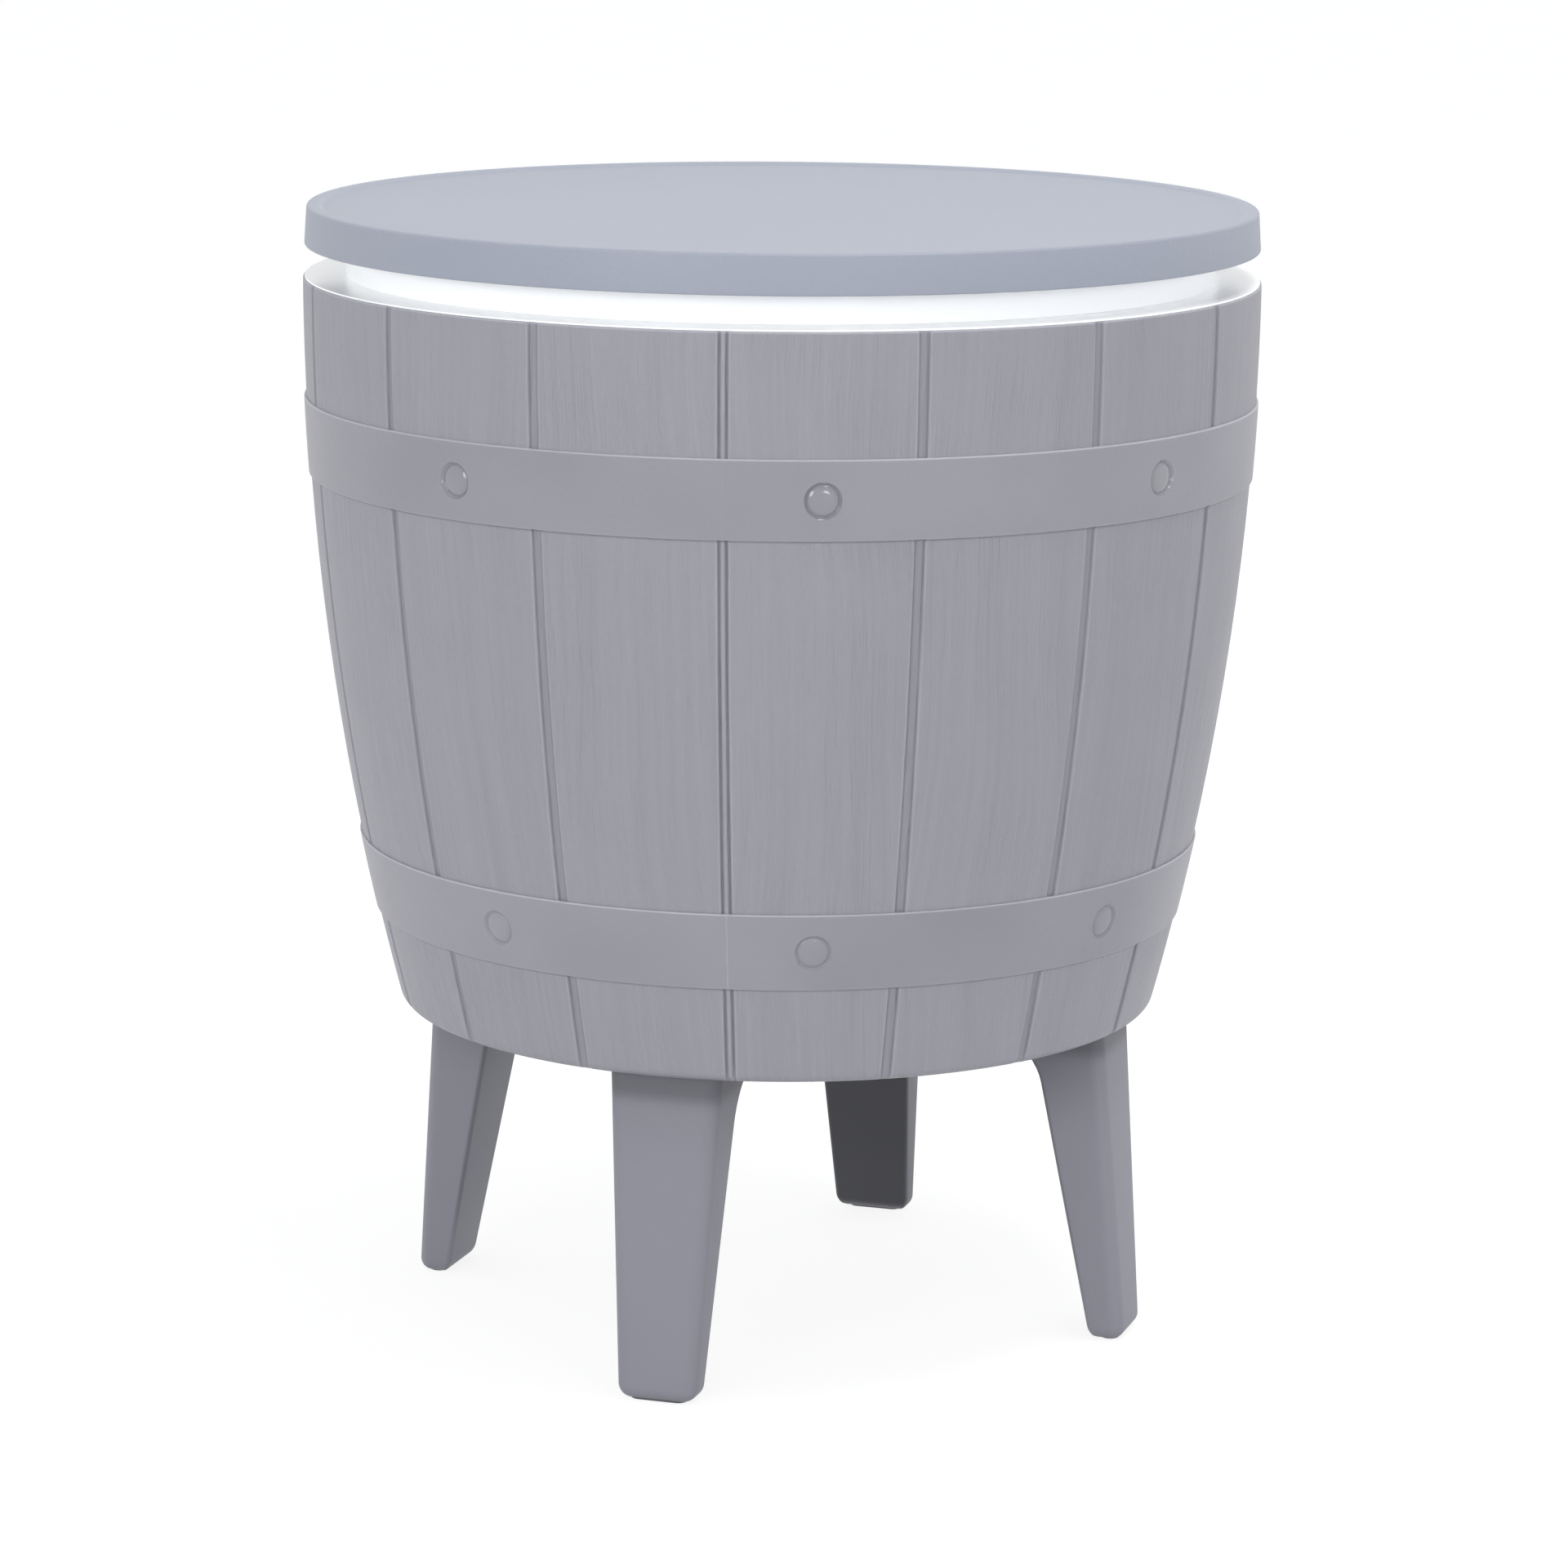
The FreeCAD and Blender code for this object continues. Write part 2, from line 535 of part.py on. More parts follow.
def make_barrel():
    """Outer barrel in one moulding: staves, hoops, rivet heads, floor, lugs and screw bosses."""
    shelf = "(dim.barrel_radius - dim.lip_width - dim.seat_width)"
    shelf_foot = f"({SEAT} - dim.seat_thick - dim.seat_width)"
    corners = [
        (stave_reach(UNDERSIDE), UNDERSIDE),
        ("dim.barrel_radius", RIM),
        ("dim.barrel_radius - dim.lip_width", RIM),
        ("dim.barrel_radius - dim.lip_width", SEAT),
        (shelf, SEAT),
        (shelf, f"{SEAT} - dim.seat_thick"),
        (stave_reach(shelf_foot, "-dim.barrel_wall"), shelf_foot),
        (stave_reach(FLOOR_TOP, "-dim.barrel_wall"), FLOOR_TOP),
        ("0", FLOOR_TOP),
        ("0", UNDERSIDE),
    ]
    arcs = {0: ("dim.stave_bow", 1), 6: ("dim.stave_bow - dim.barrel_wall", -1)}
    tub = lathe("tub", corners, arcs)
    outer, inner = corners[0][0], corners[7][0]
    round_edges(tub, "tub_round_outside", "dim.bottom_round", lambda e: is_circle_at(e, outer, UNDERSIDE))
    inside = "dim.bottom_round - dim.barrel_wall"
    round_edges(tub, "tub_round_inside", inside, lambda e: is_circle_at(e, inner, FLOOR_TOP))
    grooved = cut("grooved_tub", tub, [stave_grooves()])

    upper = f"({RIM} - dim.upper_hoop_drop - dim.hoop_height)"
    lower = f"({UNDERSIDE} + dim.lower_hoop_rise)"
    sunk = "-(dim.groove_depth + dim.barrel_wall) / 2"
    pieces = [grooved] + seam_ridges()
    for name, low in (("upper_hoop", upper), ("lower_hoop", lower)):
        high = f"({low} + dim.hoop_height)"
        hoop = bowed_ring(name, low, high, "dim.hoop_proud", sunk)
        for end, level in (("low", low), ("high", high)):
            reach = stave_reach(level, "dim.hoop_proud")
            round_edges(hoop, f"{name}_{end}", "dim.hoop_round", lambda e: is_circle_at(e, reach, level))
        pieces.append(hoop)
    pieces += rivet_heads("upper_rivet", upper, "dim.upper_rivet_dome")
    pieces += rivet_heads("lower_rivet", lower, "dim.lower_rivet_dome")

    boss_top = f"{FLOOR_TOP} + dim.screw_bite + dim.boss_tip"
    pieces += posts("leg_boss", "dim.boss_radius", f"{FLOOR_TOP} - dim.cut_past", boss_top, LEG_SCREWS)
    lug_low = f"({UNDERSIDE} - dim.lug_drop)"
    for angle in LEG_NAMES:
        outer_top = hollow_sides(UNDERSIDE)[0]
        inner_low, half_low = hollow_sides(lug_low)[1:]
        length = f"({outer_top} - {inner_low} - 2 * dim.free_gap)"
        width = f"(2 * {half_low} - 2 * dim.free_gap)"
        start = f"({inner_low} + dim.free_gap)"
        lug = turned_block(f"lug_{angle}", length, width, lug_low, FLOOR_TOP, start, angle)
        pieces.append(lug)
    solid = fuse("barrel_solid", pieces)

    deep = f"{FLOOR_TOP} + dim.screw_bite"
    below = f"{UNDERSIDE} - dim.cut_past"
    holes = posts("leg_pilot", PILOT, below, deep, LEG_SCREWS)
    holes += posts("guide_clear", CLEAR, below, f"{FLOOR_TOP} + dim.cut_past", GUIDE_SCREWS)
    drain_hole = f"{DRAIN_OUTSIDE} + dim.fit_gap"
    holes.append(cylinder("barrel_drain_hole", drain_hole, below, f"{FLOOR_TOP} + dim.cut_past", *DRAIN))
    subpart(cut("barrel", solid, holes), "barrel_shell")


def make_leg(angle, side):
    """Splayed hollow leg with a mounting flange that runs inwards under the barrel."""
    name = "leg_" + side
    body = doc.addObject("PartDesign::Body", name + "_body")
    flange_low = f"({UNDERSIDE} - dim.leg_flange_thick)"
    reach = leg_size(LEG_FOOT, LEG_TOP, flange_low)
    depth = leg_size("dim.foot_depth", "dim.top_depth", flange_low)
    throat = f"({reach} - {depth})"
    profile = sketch_on(body, "XZ_Plane", name + "_profile")
    draw_outline(
        profile,
        [
            (LEG_FOOT, FOOT),
            (LEG_TOP, UNDERSIDE),
            (FLANGE_END, UNDERSIDE),
            (FLANGE_END, flange_low),
            (throat, flange_low),
            (f"{LEG_FOOT} - dim.foot_depth", FOOT),
        ],
    )
    pad = body.newObject("PartDesign::Pad", name + "_pad")
    pad.Profile = profile
    pad.SideType = "Symmetric"
    bind(pad, Length="dim.top_width")
    doc.recompute()

    def is_throat(edge):
        box = edge.BoundBox
        level = abs(box.ZMin - measure(flange_low)) < 0.01 and box.ZLength < 0.01
        return level and abs(box.XMin - measure(throat)) < 0.01 and box.XLength < 0.01

    round_edges(body, name + "_flare", "dim.leg_flare", is_throat)

    before = body.Shape.Volume
    for number, hand in enumerate((1, -1)):
        taper = sketch_on(body, "YZ_Plane", f"{name}_taper_{number}")
        beyond = f"{hand} * (dim.top_width / 2 + dim.leg_wall)"
        draw_outline(
            taper,
            [
                (f"{hand} * dim.foot_width / 2", FOOT),
                (f"{hand} * dim.top_width / 2", UNDERSIDE),
                (beyond, UNDERSIDE),
                (beyond, FOOT),
            ],
        )
        pocket = body.newObject("PartDesign::Pocket", f"{name}_side_{number}")
        pocket.Profile = taper
        pocket.SideType = "Symmetric"
        bind(pocket, Length=f"4 * {LEG_FOOT}")
        doc.recompute()
    if body.Shape.Volume >= before:
        raise ValueError(f"{name} has no tapered sides")

    def is_outer_long_edge(edge):
        box = edge.BoundBox
        tall = box.ZLength > 0.9 * measure("dim.leg_length")
        return tall and box.XMax > measure(LEG_FOOT) - 0.01

    def is_foot_edge(edge):
        box = edge.BoundBox
        return box.ZLength < 0.01 and abs(box.ZMin - measure(FOOT)) < 0.01

    round_edges(body, name + "_long_round", "dim.leg_round", is_outer_long_edge)
    round_edges(body, name + "_foot_round", "dim.foot_round", is_foot_edge)

    sections = []
    for number, level in enumerate((UNDERSIDE, f"({FOOT} + dim.leg_solid)")):
        section = sketch_on(body, "XY_Plane", f"{name}_hollow_{number}")
        bind(section, AttachmentOffset__Base__z=level)
        outer, inner, half = hollow_sides(level)
        draw_outline(section, [(inner, f"-{half}"), (outer, f"-{half}"), (outer, half), (inner, half)])
        sections.append(section)
    doc.recompute()
    before = body.Shape.Volume
    hollow = body.newObject("PartDesign::SubtractiveLoft", name + "_hollow")
    hollow.Profile = sections[0]
    hollow.Sections = [sections[1]]
    hollow.Ruled = True
    doc.recompute()
    if body.Shape.Volume >= before:
        raise ValueError(f"{name} has no hollow")

    holes = posts(
        name + "_screw_hole",
        CLEAR,
        *past(flange_low, UNDERSIDE),
        [(LEG_SCREW_REACH, f"{hand} * dim.leg_screw_half") for hand in (-1, 1)],
    )
    centre = f"{LEG_FOOT} - dim.foot_depth / 2"
    stem_top = f"{FOOT} + dim.glide_stem_length + dim.free_gap"
    stem = "dim.glide_stem_radius + dim.fit_gap"
    holes.append(cylinder(name + "_glide_hole", stem, f"{FOOT} - dim.cut_past", stem_top, centre))
    leg = cut(name + "_drilled", body, holes)
    leg.Placement.Rotation = FreeCAD.Rotation(FreeCAD.Vector(0, 0, 1), angle)
    subpart(leg, name)


def make_glide(angle, side):
    """Foot glide: an oblong pad with a stem that pushes into the foot."""
    name = "foot_glide_" + side
    centre = f"({LEG_FOOT} - dim.foot_depth / 2)"
    straight = "(dim.glide_length - dim.glide_width)"
    middle = block(name + "_middle", "dim.glide_width", straight, "0", FOOT, centre)
    half = "dim.glide_width / 2"
    ends = [cylinder(f"{name}_end_{n}", half, "0", FOOT, centre, f"{hand} * {straight} / 2")
            for n, hand in enumerate((-1, 1))]
    top = f"{FOOT} + dim.glide_stem_length"
    stem = cylinder(name + "_stem", "dim.glide_stem_radius", "0", top, centre)
    glide = fuse(name, [middle, stem] + ends)
    glide.Placement.Rotation = FreeCAD.Rotation(FreeCAD.Vector(0, 0, 1), angle)
    subpart(glide, name)


def make_bucket():
    """White ice bucket: flange on the barrel's rim, tapered wall, floor and centre column."""
    flange = "(dim.barrel_radius - dim.lip_width - dim.free_gap)"
    column_foot = "(dim.column_radius + dim.column_draft)"
    outer_foot = f"({BASIN_WALL} + dim.bucket_wall)"
    below = f"({BASIN} - dim.bucket_wall)"
    corners = [
        (flange, SEAT),
        (flange, LEDGE),
        (MOUTH, LEDGE),
        (BASIN_WALL, BASIN),
        (column_foot, BASIN),
        ("dim.column_radius", COLUMN_TOP),
        (COLUMN_BORE, COLUMN_TOP),
        (COLUMN_BORE, below),
        (outer_foot, below),
        (f"{MOUTH} + dim.bucket_wall", SEAT),
    ]
    body = lathe("bucket", corners)
    inside = "dim.basin_round"
    outside = "dim.basin_round + dim.bucket_wall"
    round_edges(body, "bucket_inside", inside, lambda e: is_circle_at(e, BASIN_WALL, BASIN))
    round_edges(body, "bucket_outside", outside, lambda e: is_circle_at(e, outer_foot, below))
    foot_round = "dim.column_round"
    round_edges(body, "column_foot_round", foot_round, lambda e: is_circle_at(e, column_foot, BASIN))
    hole = f"{DRAIN_OUTSIDE} + dim.fit_gap"
    drain = cylinder("bucket_drain_hole", hole, *past(below, BASIN), *DRAIN)
    subpart(cut("bucket_drilled", body, [drain]), "ice_bucket")


def make_guide():
    """Fixed guide of the centre post: base, keyed guide tube, top collar and wiper ring."""
    socket_bore = f"({GUIDE_OUTSIDE} + dim.fit_gap)"
    socket = f"({socket_bore} + dim.guide_socket_wall)"
    seat = f"({FLOOR_TOP} + dim.guide_seat)"
    socket_top = f"{FLOOR_TOP} + dim.guide_socket_height"
    boss_top = f"{FLOOR_TOP} + dim.guide_boss_height"
    flange_top = f"{FLOOR_TOP} + dim.guide_flange_thick"
    flange = cylinder("guide_flange", "dim.guide_flange_radius", FLOOR_TOP, flange_top)
    wall = cylinder("guide_socket", socket, FLOOR_TOP, socket_top)
    bosses = posts("guide_boss", "dim.boss_radius", FLOOR_TOP, boss_top, GUIDE_SCREWS)
    solid = fuse("guide_base_solid", [flange, wall] + bosses)
    bore = cylinder("guide_socket_bore", socket_bore, seat, f"{socket_top} + dim.cut_past")
    vent = cylinder("guide_vent", "dim.journal_radius", *past(FLOOR_TOP, seat))
    pilot_low = f"{FLOOR_TOP} - dim.cut_past"
    pilots = posts("guide_pilot", PILOT, pilot_low, f"{FLOOR_TOP} + dim.screw_bite", GUIDE_SCREWS)
    subpart(cut("guide_base_cut", solid, [bore, vent] + pilots), "guide_base")
    head = f"({UNDERSIDE} - dim.screw_head_height)"
    screws("guide_screws", GUIDE_SCREWS, head, f"{FLOOR_TOP} + dim.screw_bite - dim.screw_pilot_gap")

    top = f"({COLUMN_TOP} - dim.guide_top_gap)"
    outside = cylinder("guide_outside", GUIDE_OUTSIDE, seat, top)
    inside = cylinder("guide_inside", "dim.guide_bore", *past(seat, top))
    across = "2 * (dim.guide_bore + dim.keyway_depth)"
    keyways = block("keyways", across, "dim.keyway_width", *past(seat, top))
    subpart(cut("guide", outside, [fuse("guide_hollow", [inside, keyways])]), "guide_tube")

    flange_top = f"({COLUMN_TOP} + dim.collar_flange_thick)"
    slide = "(dim.post_radius + dim.running_gap)"
    spigot = "(dim.guide_bore - dim.fit_gap)"
    pocket = "(dim.post_radius + dim.free_gap + dim.wiper_width)"
    pocket_floor = f"({flange_top} - dim.wiper_height - dim.free_gap)"
    corners = [
        (slide, BUSH_LOW),
        (spigot, BUSH_LOW),
        (spigot, COLUMN_TOP),
        ("dim.collar_flange_radius", COLUMN_TOP),
        ("dim.collar_flange_radius", f"{flange_top} - dim.collar_bevel"),
        ("dim.collar_flange_radius - 2 * dim.collar_bevel", flange_top),
        (pocket, flange_top),
        (pocket, pocket_floor),
        (slide, pocket_floor),
    ]
    subpart(lathe("collar", corners), "top_collar")
    wiper_bore = "dim.post_radius + dim.free_gap"
    wiper_top = f"{pocket_floor} + dim.wiper_height"
    subpart(ring("wiper", f"{pocket} - dim.fit_gap", wiper_bore, pocket_floor, wiper_top), "wiper_ring")


def make_drain():
    """Drain: pipe from the basin through the barrel's floor, seal, nut and pull-out plug."""
    seal_top = f"({BASIN} + dim.drain_seal_thick)"
    flange_top = f"({seal_top} + dim.drain_flange_thick)"
    flange = f"({DRAIN_OUTSIDE} + dim.drain_flange_width)"
    nut_low = f"({UNDERSIDE} - dim.drain_nut_height)"
    outside = cylinder("drain_outside", DRAIN_OUTSIDE, nut_low, flange_top, *DRAIN)
    plate = cylinder("drain_plate", flange, seal_top, flange_top, *DRAIN)
    bore = cylinder("drain_inside", "dim.drain_bore", *past(nut_low, flange_top), *DRAIN)
    subpart(cut("drain", fuse("drain_solid", [outside, plate]), [bore]), "drain_pipe")
    hug = f"{DRAIN_OUTSIDE} + dim.fit_gap"
    subpart(ring("seal", f"{flange} - dim.free_gap", hug, BASIN, seal_top, *DRAIN), "drain_seal")
    nut = f"({DRAIN_OUTSIDE} + dim.drain_nut_width)"
    hexagon = doc.addObject("Part::Prism", "nut_hexagon")
    hexagon.Polygon = 6
    bind(hexagon, Circumradius=nut, Height="dim.drain_nut_height")
    place(hexagon, *DRAIN, nut_low)
    hole = cylinder("nut_hole", hug, *past(nut_low, UNDERSIDE), *DRAIN)
    subpart(cut("nut", hexagon, [hole]), "drain_nut")

    stopper_top = f"{nut_low} + dim.drain_plug_depth"
    head_low = f"({nut_low} - dim.drain_plug_head)"
    stopper = cylinder("stopper", "dim.drain_bore - dim.running_gap", head_low, stopper_top, *DRAIN)
    head = cylinder("stopper_head", DRAIN_OUTSIDE, head_low, nut_low, *DRAIN)
    tab_low = f"{head_low} - dim.drain_tab_height"
    tab = block("stopper_tab", "2 * dim.drain_bore", "dim.drain_tab_thick", tab_low, head_low, *DRAIN)
    subpart(fuse("stopper_solid", [stopper, head, tab]), "drain_plug")


def make_table_top():
    """Grey table top: plate with a low raised rim, skirt, ribs and screw bosses."""
    top_radius = f"({LID} - dim.lid_draft)"
    rim_inner = f"({top_radius} - dim.rim_width)"
    corners = [
        (LID, SKIRT),
        (top_radius, LID_RIM),
        (rim_inner, LID_RIM),
        (f"{rim_inner} - dim.rim_slope", TABLE),
        ("0", TABLE),
        ("0", PLATE),
        (f"{top_radius} - dim.lid_wall", PLATE),
        (f"{LID} - dim.lid_wall", SKIRT),
    ]
    plate = lathe("lid_plate", corners)
    round_edges(plate, "lid_edge_round", "dim.lid_round", lambda e: is_circle_at(e, top_radius, LID_RIM))
    inside = "(dim.post_flange_radius + dim.lid_wall)"
    length = f"({BAND} - 2 * dim.underside_wall - {inside})"
    rib_low = f"({PLATE} - dim.rib_height)"
    rib_high = f"{PLATE} + dim.cut_past"
    ribs = []
    for number in range(int(SIZES["rib_count"])):
        angle = f"({number} + 0.5) * 360 / dim.rib_count"
        rib = turned_block(f"rib_{number}", length, "dim.rib_thick", rib_low, rib_high, inside, angle)
        ribs.append(rib)
    bosses = posts("lid_boss", "dim.boss_radius", PANEL_TOP, rib_high, LID_SCREWS)
    bosses += posts("flange_boss", "dim.boss_radius", FLANGE_TOP, rib_high, FLANGE_SCREWS)
    solid = fuse("lid_solid", [plate] + ribs + bosses)
    deep = f"{PANEL_TOP} + dim.screw_bite"
    holes = posts("lid_pilot", PILOT, f"{PANEL_TOP} - dim.cut_past", deep, LID_SCREWS)
    flange_low = f"{FLANGE_TOP} - dim.cut_past"
    holes += posts("flange_pilot", PILOT, flange_low, f"{PLATE} - dim.screw_pilot_gap", FLANGE_SCREWS)
    subpart(cut("lid_cut", solid, holes), "table_top")
    tip = f"{deep} - dim.screw_pilot_gap"
    screws("lid_screws", LID_SCREWS, f"({LEDGE} - dim.screw_head_height)", tip)


def make_underside():
    """White underside: a shallow pan whose wall shows as the white band under the lid."""
    hole = "(dim.post_radius + dim.free_gap)"
    inner = f"({BAND} - dim.underside_wall)"
    corners = [
        (hole, LEDGE),
        (BAND, LEDGE),
        (BAND, PLATE),
        (inner, PLATE),
        (inner, PANEL_TOP),
        (hole, PANEL_TOP),
    ]
    pan = lathe("pan", corners)
    holes = posts("pan_hole", CLEAR, *past(LEDGE, PANEL_TOP), LID_SCREWS)
    subpart(cut("pan_drilled", pan, holes), "lid_underside")


def make_post():
    """Lift tube with the flange that carries the lid and the plug that carries the collar."""
    hub_bore = "(dim.post_radius + dim.fit_gap)"
    hub = f"({hub_bore} + dim.hub_wall)"
    hub_low = f"({FLANGE_TOP} - dim.hub_length)"
    flange = cylinder("post_plate", "dim.post_flange_radius", FLANGE_LOW, FLANGE_TOP)
    boss = cylinder("post_hub", hub, hub_low, FLANGE_TOP)
    bore = cylinder("post_hub_bore", hub_bore, *past(hub_low, FLANGE_TOP))
    holes = posts("post_clear", CLEAR, *past(FLANGE_LOW, FLANGE_TOP), FLANGE_SCREWS)
    pin_level = f"({FLANGE_TOP} - dim.hub_pin_drop)"

    def cross_rod(name, radius, reach):
        rod = doc.addObject("Part::Cylinder", name)
        bind(rod, Radius=radius, Height=f"2 * ({reach})")
        rod.Placement.Rotation = FreeCAD.Rotation(FreeCAD.Vector(0, 1, 0), 90)
        return place(rod, f"-({reach})", "0", pin_level)

    pin_hole = "dim.hub_pin_radius + dim.fit_gap"
    flange_holes = [bore, cross_rod("hub_pin_hole", pin_hole, f"{hub} + dim.cut_past")] + holes
    subpart(cut("post_flange_cut", fuse("post_flange_solid", [flange, boss]), flange_holes), "post_flange")
    head = f"({FLANGE_LOW} - dim.screw_head_height)"
    screws("flange_screws", FLANGE_SCREWS, head, f"{PLATE} - 2 * dim.screw_pilot_gap")
    subpart(cross_rod("pin", "dim.hub_pin_radius", hub), "cross_pin")

    inside = "(dim.post_radius - dim.post_wall)"
    spigot = f"({inside} - dim.running_gap)"
    spigot_top = f"({TUBE_LOW} + dim.plug_spigot)"
    rivet_level = f"({TUBE_LOW} + dim.plug_spigot / 2)"
    rivet = "dim.plug_rivet_radius"
    rivet_depth = "dim.plug_rivet_bite"

    def side_rivets(name, radius, end):
        """Two short rods through the tube's wall into the plug, on opposite sides."""
        rods = []
        for number, hand in enumerate((1, -1)):
            rod = doc.addObject("Part::Cylinder", f"{name}_{number}")
            bind(rod, Radius=radius, Height=f"({end}) - ({inside} - {rivet_depth})")
            rod.Placement.Rotation = FreeCAD.Rotation(FreeCAD.Vector(1, 0, 0), -90 * hand)
            rods.append(place(rod, "0", f"{hand} * ({inside} - {rivet_depth})", rivet_level))
        return rods

    tube_outside = cylinder("tube_outside", "dim.post_radius", TUBE_LOW, FLANGE_TOP)
    tube_inside = cylinder("tube_inside", inside, *past(TUBE_LOW, FLANGE_TOP))
    wide = f"{rivet} + dim.running_gap"
    tube_holes = side_rivets("tube_rivet_hole", wide, "dim.post_radius + dim.cut_past")
    tube_pin = cross_rod("tube_pin_hole", pin_hole, "dim.post_radius + dim.cut_past")
    hollow = fuse("tube_hollow", [tube_inside, tube_pin] + tube_holes)
    subpart(cut("tube", tube_outside, [hollow]), "lift_tube")

    ring_low = f"({RING_TOP} - dim.ring_thick)"
    groove = "(dim.journal_radius - dim.ring_groove_depth)"
    corners = [
        ("0", JOURNAL_LOW),
        ("dim.journal_radius", JOURNAL_LOW),
        ("dim.journal_radius", f"{ring_low} - dim.running_gap"),
        (groove, f"{ring_low} - dim.running_gap"),
        (groove, f"{RING_TOP} + dim.running_gap"),
        ("dim.journal_radius", f"{RING_TOP} + dim.running_gap"),
        ("dim.journal_radius", PLUG_FLANGE),
        ("dim.post_radius", PLUG_FLANGE),
        ("dim.post_radius", TUBE_LOW),
        (spigot, TUBE_LOW),
        (spigot, spigot_top),
        ("0", spigot_top),
    ]
    plug = lathe("plug", corners)
    flats = []
    for number, hand in enumerate((1, -1)):
        start = f"{hand} * (2 * dim.journal_radius - dim.journal_flat)"
        width = "2 * dim.journal_radius"
        flats.append(block(f"flat_{number}", width, width, CARRIAGE, CARRIAGE_TOP, start))
    plug_holes = side_rivets("plug_rivet_hole", wide, "dim.post_radius + dim.cut_past")
    subpart(cut("plug_cut", plug, flats + plug_holes), "tube_end_plug")
    flush = "dim.post_radius - dim.running_gap"
    subpart(group("rivets", side_rivets("rivet", rivet, flush)), "plug_rivets")
    grip = f"{groove} + dim.running_gap"
    subpart(ring("clip", "dim.ring_radius", grip, ring_low, RING_TOP), "retaining_ring")

    outside = cylinder("carriage_outside", "dim.guide_bore - dim.running_gap", CARRIAGE, CARRIAGE_TOP)
    key_span = "2 * (dim.guide_bore + dim.keyway_depth - dim.key_gap)"
    key_width = "dim.keyway_width - 2 * dim.key_gap"
    keys = block("keys", key_span, key_width, CARRIAGE, CARRIAGE_TOP)
    bearing = "dim.journal_radius + dim.running_gap"
    hole = cylinder("carriage_bore", bearing, *past(CARRIAGE, CARRIAGE_TOP))
    slit_length = "dim.guide_bore"
    slit = block(
        "carriage_slit", "dim.carriage_slit", slit_length, *past(CARRIAGE, CARRIAGE_TOP),
        "0", f"{slit_length} / 2 + dim.journal_radius / 2",
    )
    subpart(cut("carriage", fuse("carriage_solid", [outside, keys]), [hole, slit]), "locking_collar")


def check_and_write():
    """Stops at any failed object or bad shape, then writes one file for each piece."""
    doc.recompute()
    for item in doc.Objects:
        if "Invalid" in item.State or "Error" in item.State:
            raise ValueError(f"{item.Name} failed")
    for item in subparts:
        if item.Shape.isNull() or not item.Shape.isValid():
            raise ValueError(f"{item.Label} has no valid shape")
    os.makedirs("parts", exist_ok=True)
    for item in subparts:
        item.Shape.exportStep(os.path.join("parts", item.Label + ".step"))


make_barrel()
make_bucket()
make_guide()
make_drain()
for leg_angle, leg_side in LEG_NAMES.items():
    make_leg(leg_angle, leg_side)
    make_glide(leg_angle, leg_side)
screw_low = f"({UNDERSIDE} - dim.leg_flange_thick - dim.screw_head_height)"
screws("leg_screws", LEG_SCREWS, screw_low, f"{FLOOR_TOP} + dim.screw_bite - dim.screw_pilot_gap")
make_table_top()
make_underside()
make_post()
check_and_write()
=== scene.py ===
"""A round cooler table with its lid: looks of the barrel, the table top, the white bucket and the legs.

Every piece is a surface worked out with numpy in the row frame, in metres, at rest. A part is a pair of
arrays, its points and its faces.
"""

import math

import bmesh
import bpy
import numpy as np
from mathutils import Matrix, Vector


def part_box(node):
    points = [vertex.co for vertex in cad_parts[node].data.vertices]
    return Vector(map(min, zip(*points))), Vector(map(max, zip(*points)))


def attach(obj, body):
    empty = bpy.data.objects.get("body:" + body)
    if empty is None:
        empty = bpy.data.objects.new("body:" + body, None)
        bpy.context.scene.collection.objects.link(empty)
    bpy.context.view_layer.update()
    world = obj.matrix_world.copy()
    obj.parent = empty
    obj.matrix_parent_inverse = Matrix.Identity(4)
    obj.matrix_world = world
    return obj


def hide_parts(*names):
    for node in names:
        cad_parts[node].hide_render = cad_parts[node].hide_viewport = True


bl_info = {
    "name": "Cooler Table",
    "version": (1, 0, 0),
    "blender": (4, 5, 0),
    "location": "View3D > Sidebar > Cooler Table",
    "description": "Barrel-shaped cooler table with a lid that is its table top",
    "category": "Add Mesh",
}

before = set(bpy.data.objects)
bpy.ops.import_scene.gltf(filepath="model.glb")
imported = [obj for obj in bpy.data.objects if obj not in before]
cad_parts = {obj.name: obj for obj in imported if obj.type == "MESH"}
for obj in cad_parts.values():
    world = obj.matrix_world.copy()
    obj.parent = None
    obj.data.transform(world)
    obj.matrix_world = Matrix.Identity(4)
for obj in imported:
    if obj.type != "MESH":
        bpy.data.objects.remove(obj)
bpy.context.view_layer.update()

MM = 0.001
STAVES = 16
RIVETS = 8
SEAM_GROOVE = 2
LEG_ANGLES = {"rear_right": 45, "rear_left": 135, "front_left": 225, "front_right": 315}
BOSSES = 8
BOSS_CIRCLE = 200 * MM
DRAIN_PLACE = Matrix.Translation((120 * MM, 0, 0))

# Steps round the large turned pieces
ROUND_STEPS = 256

# Metres from one stave's wood grain to the next one's on the grain map
STAVE_SHIFT = 0.37

# Cells across a stave, rows across a hoop, and the opening left in that grid round each rivet
STAVE_CELLS = 15
HOOP_ROWS = 17
WINDOW_CELLS = 5
WINDOW_ROWS = 10


def top_of(node):
    """Height of a node's highest point, in metres."""
    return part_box(node)[1].z


def foot_of(node):
    """Height of a node's lowest point, in metres."""
    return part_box(node)[0].z


def reach_of(node):
    """Largest distance of a node from the centre line along X, in metres."""
    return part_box(node)[1].x


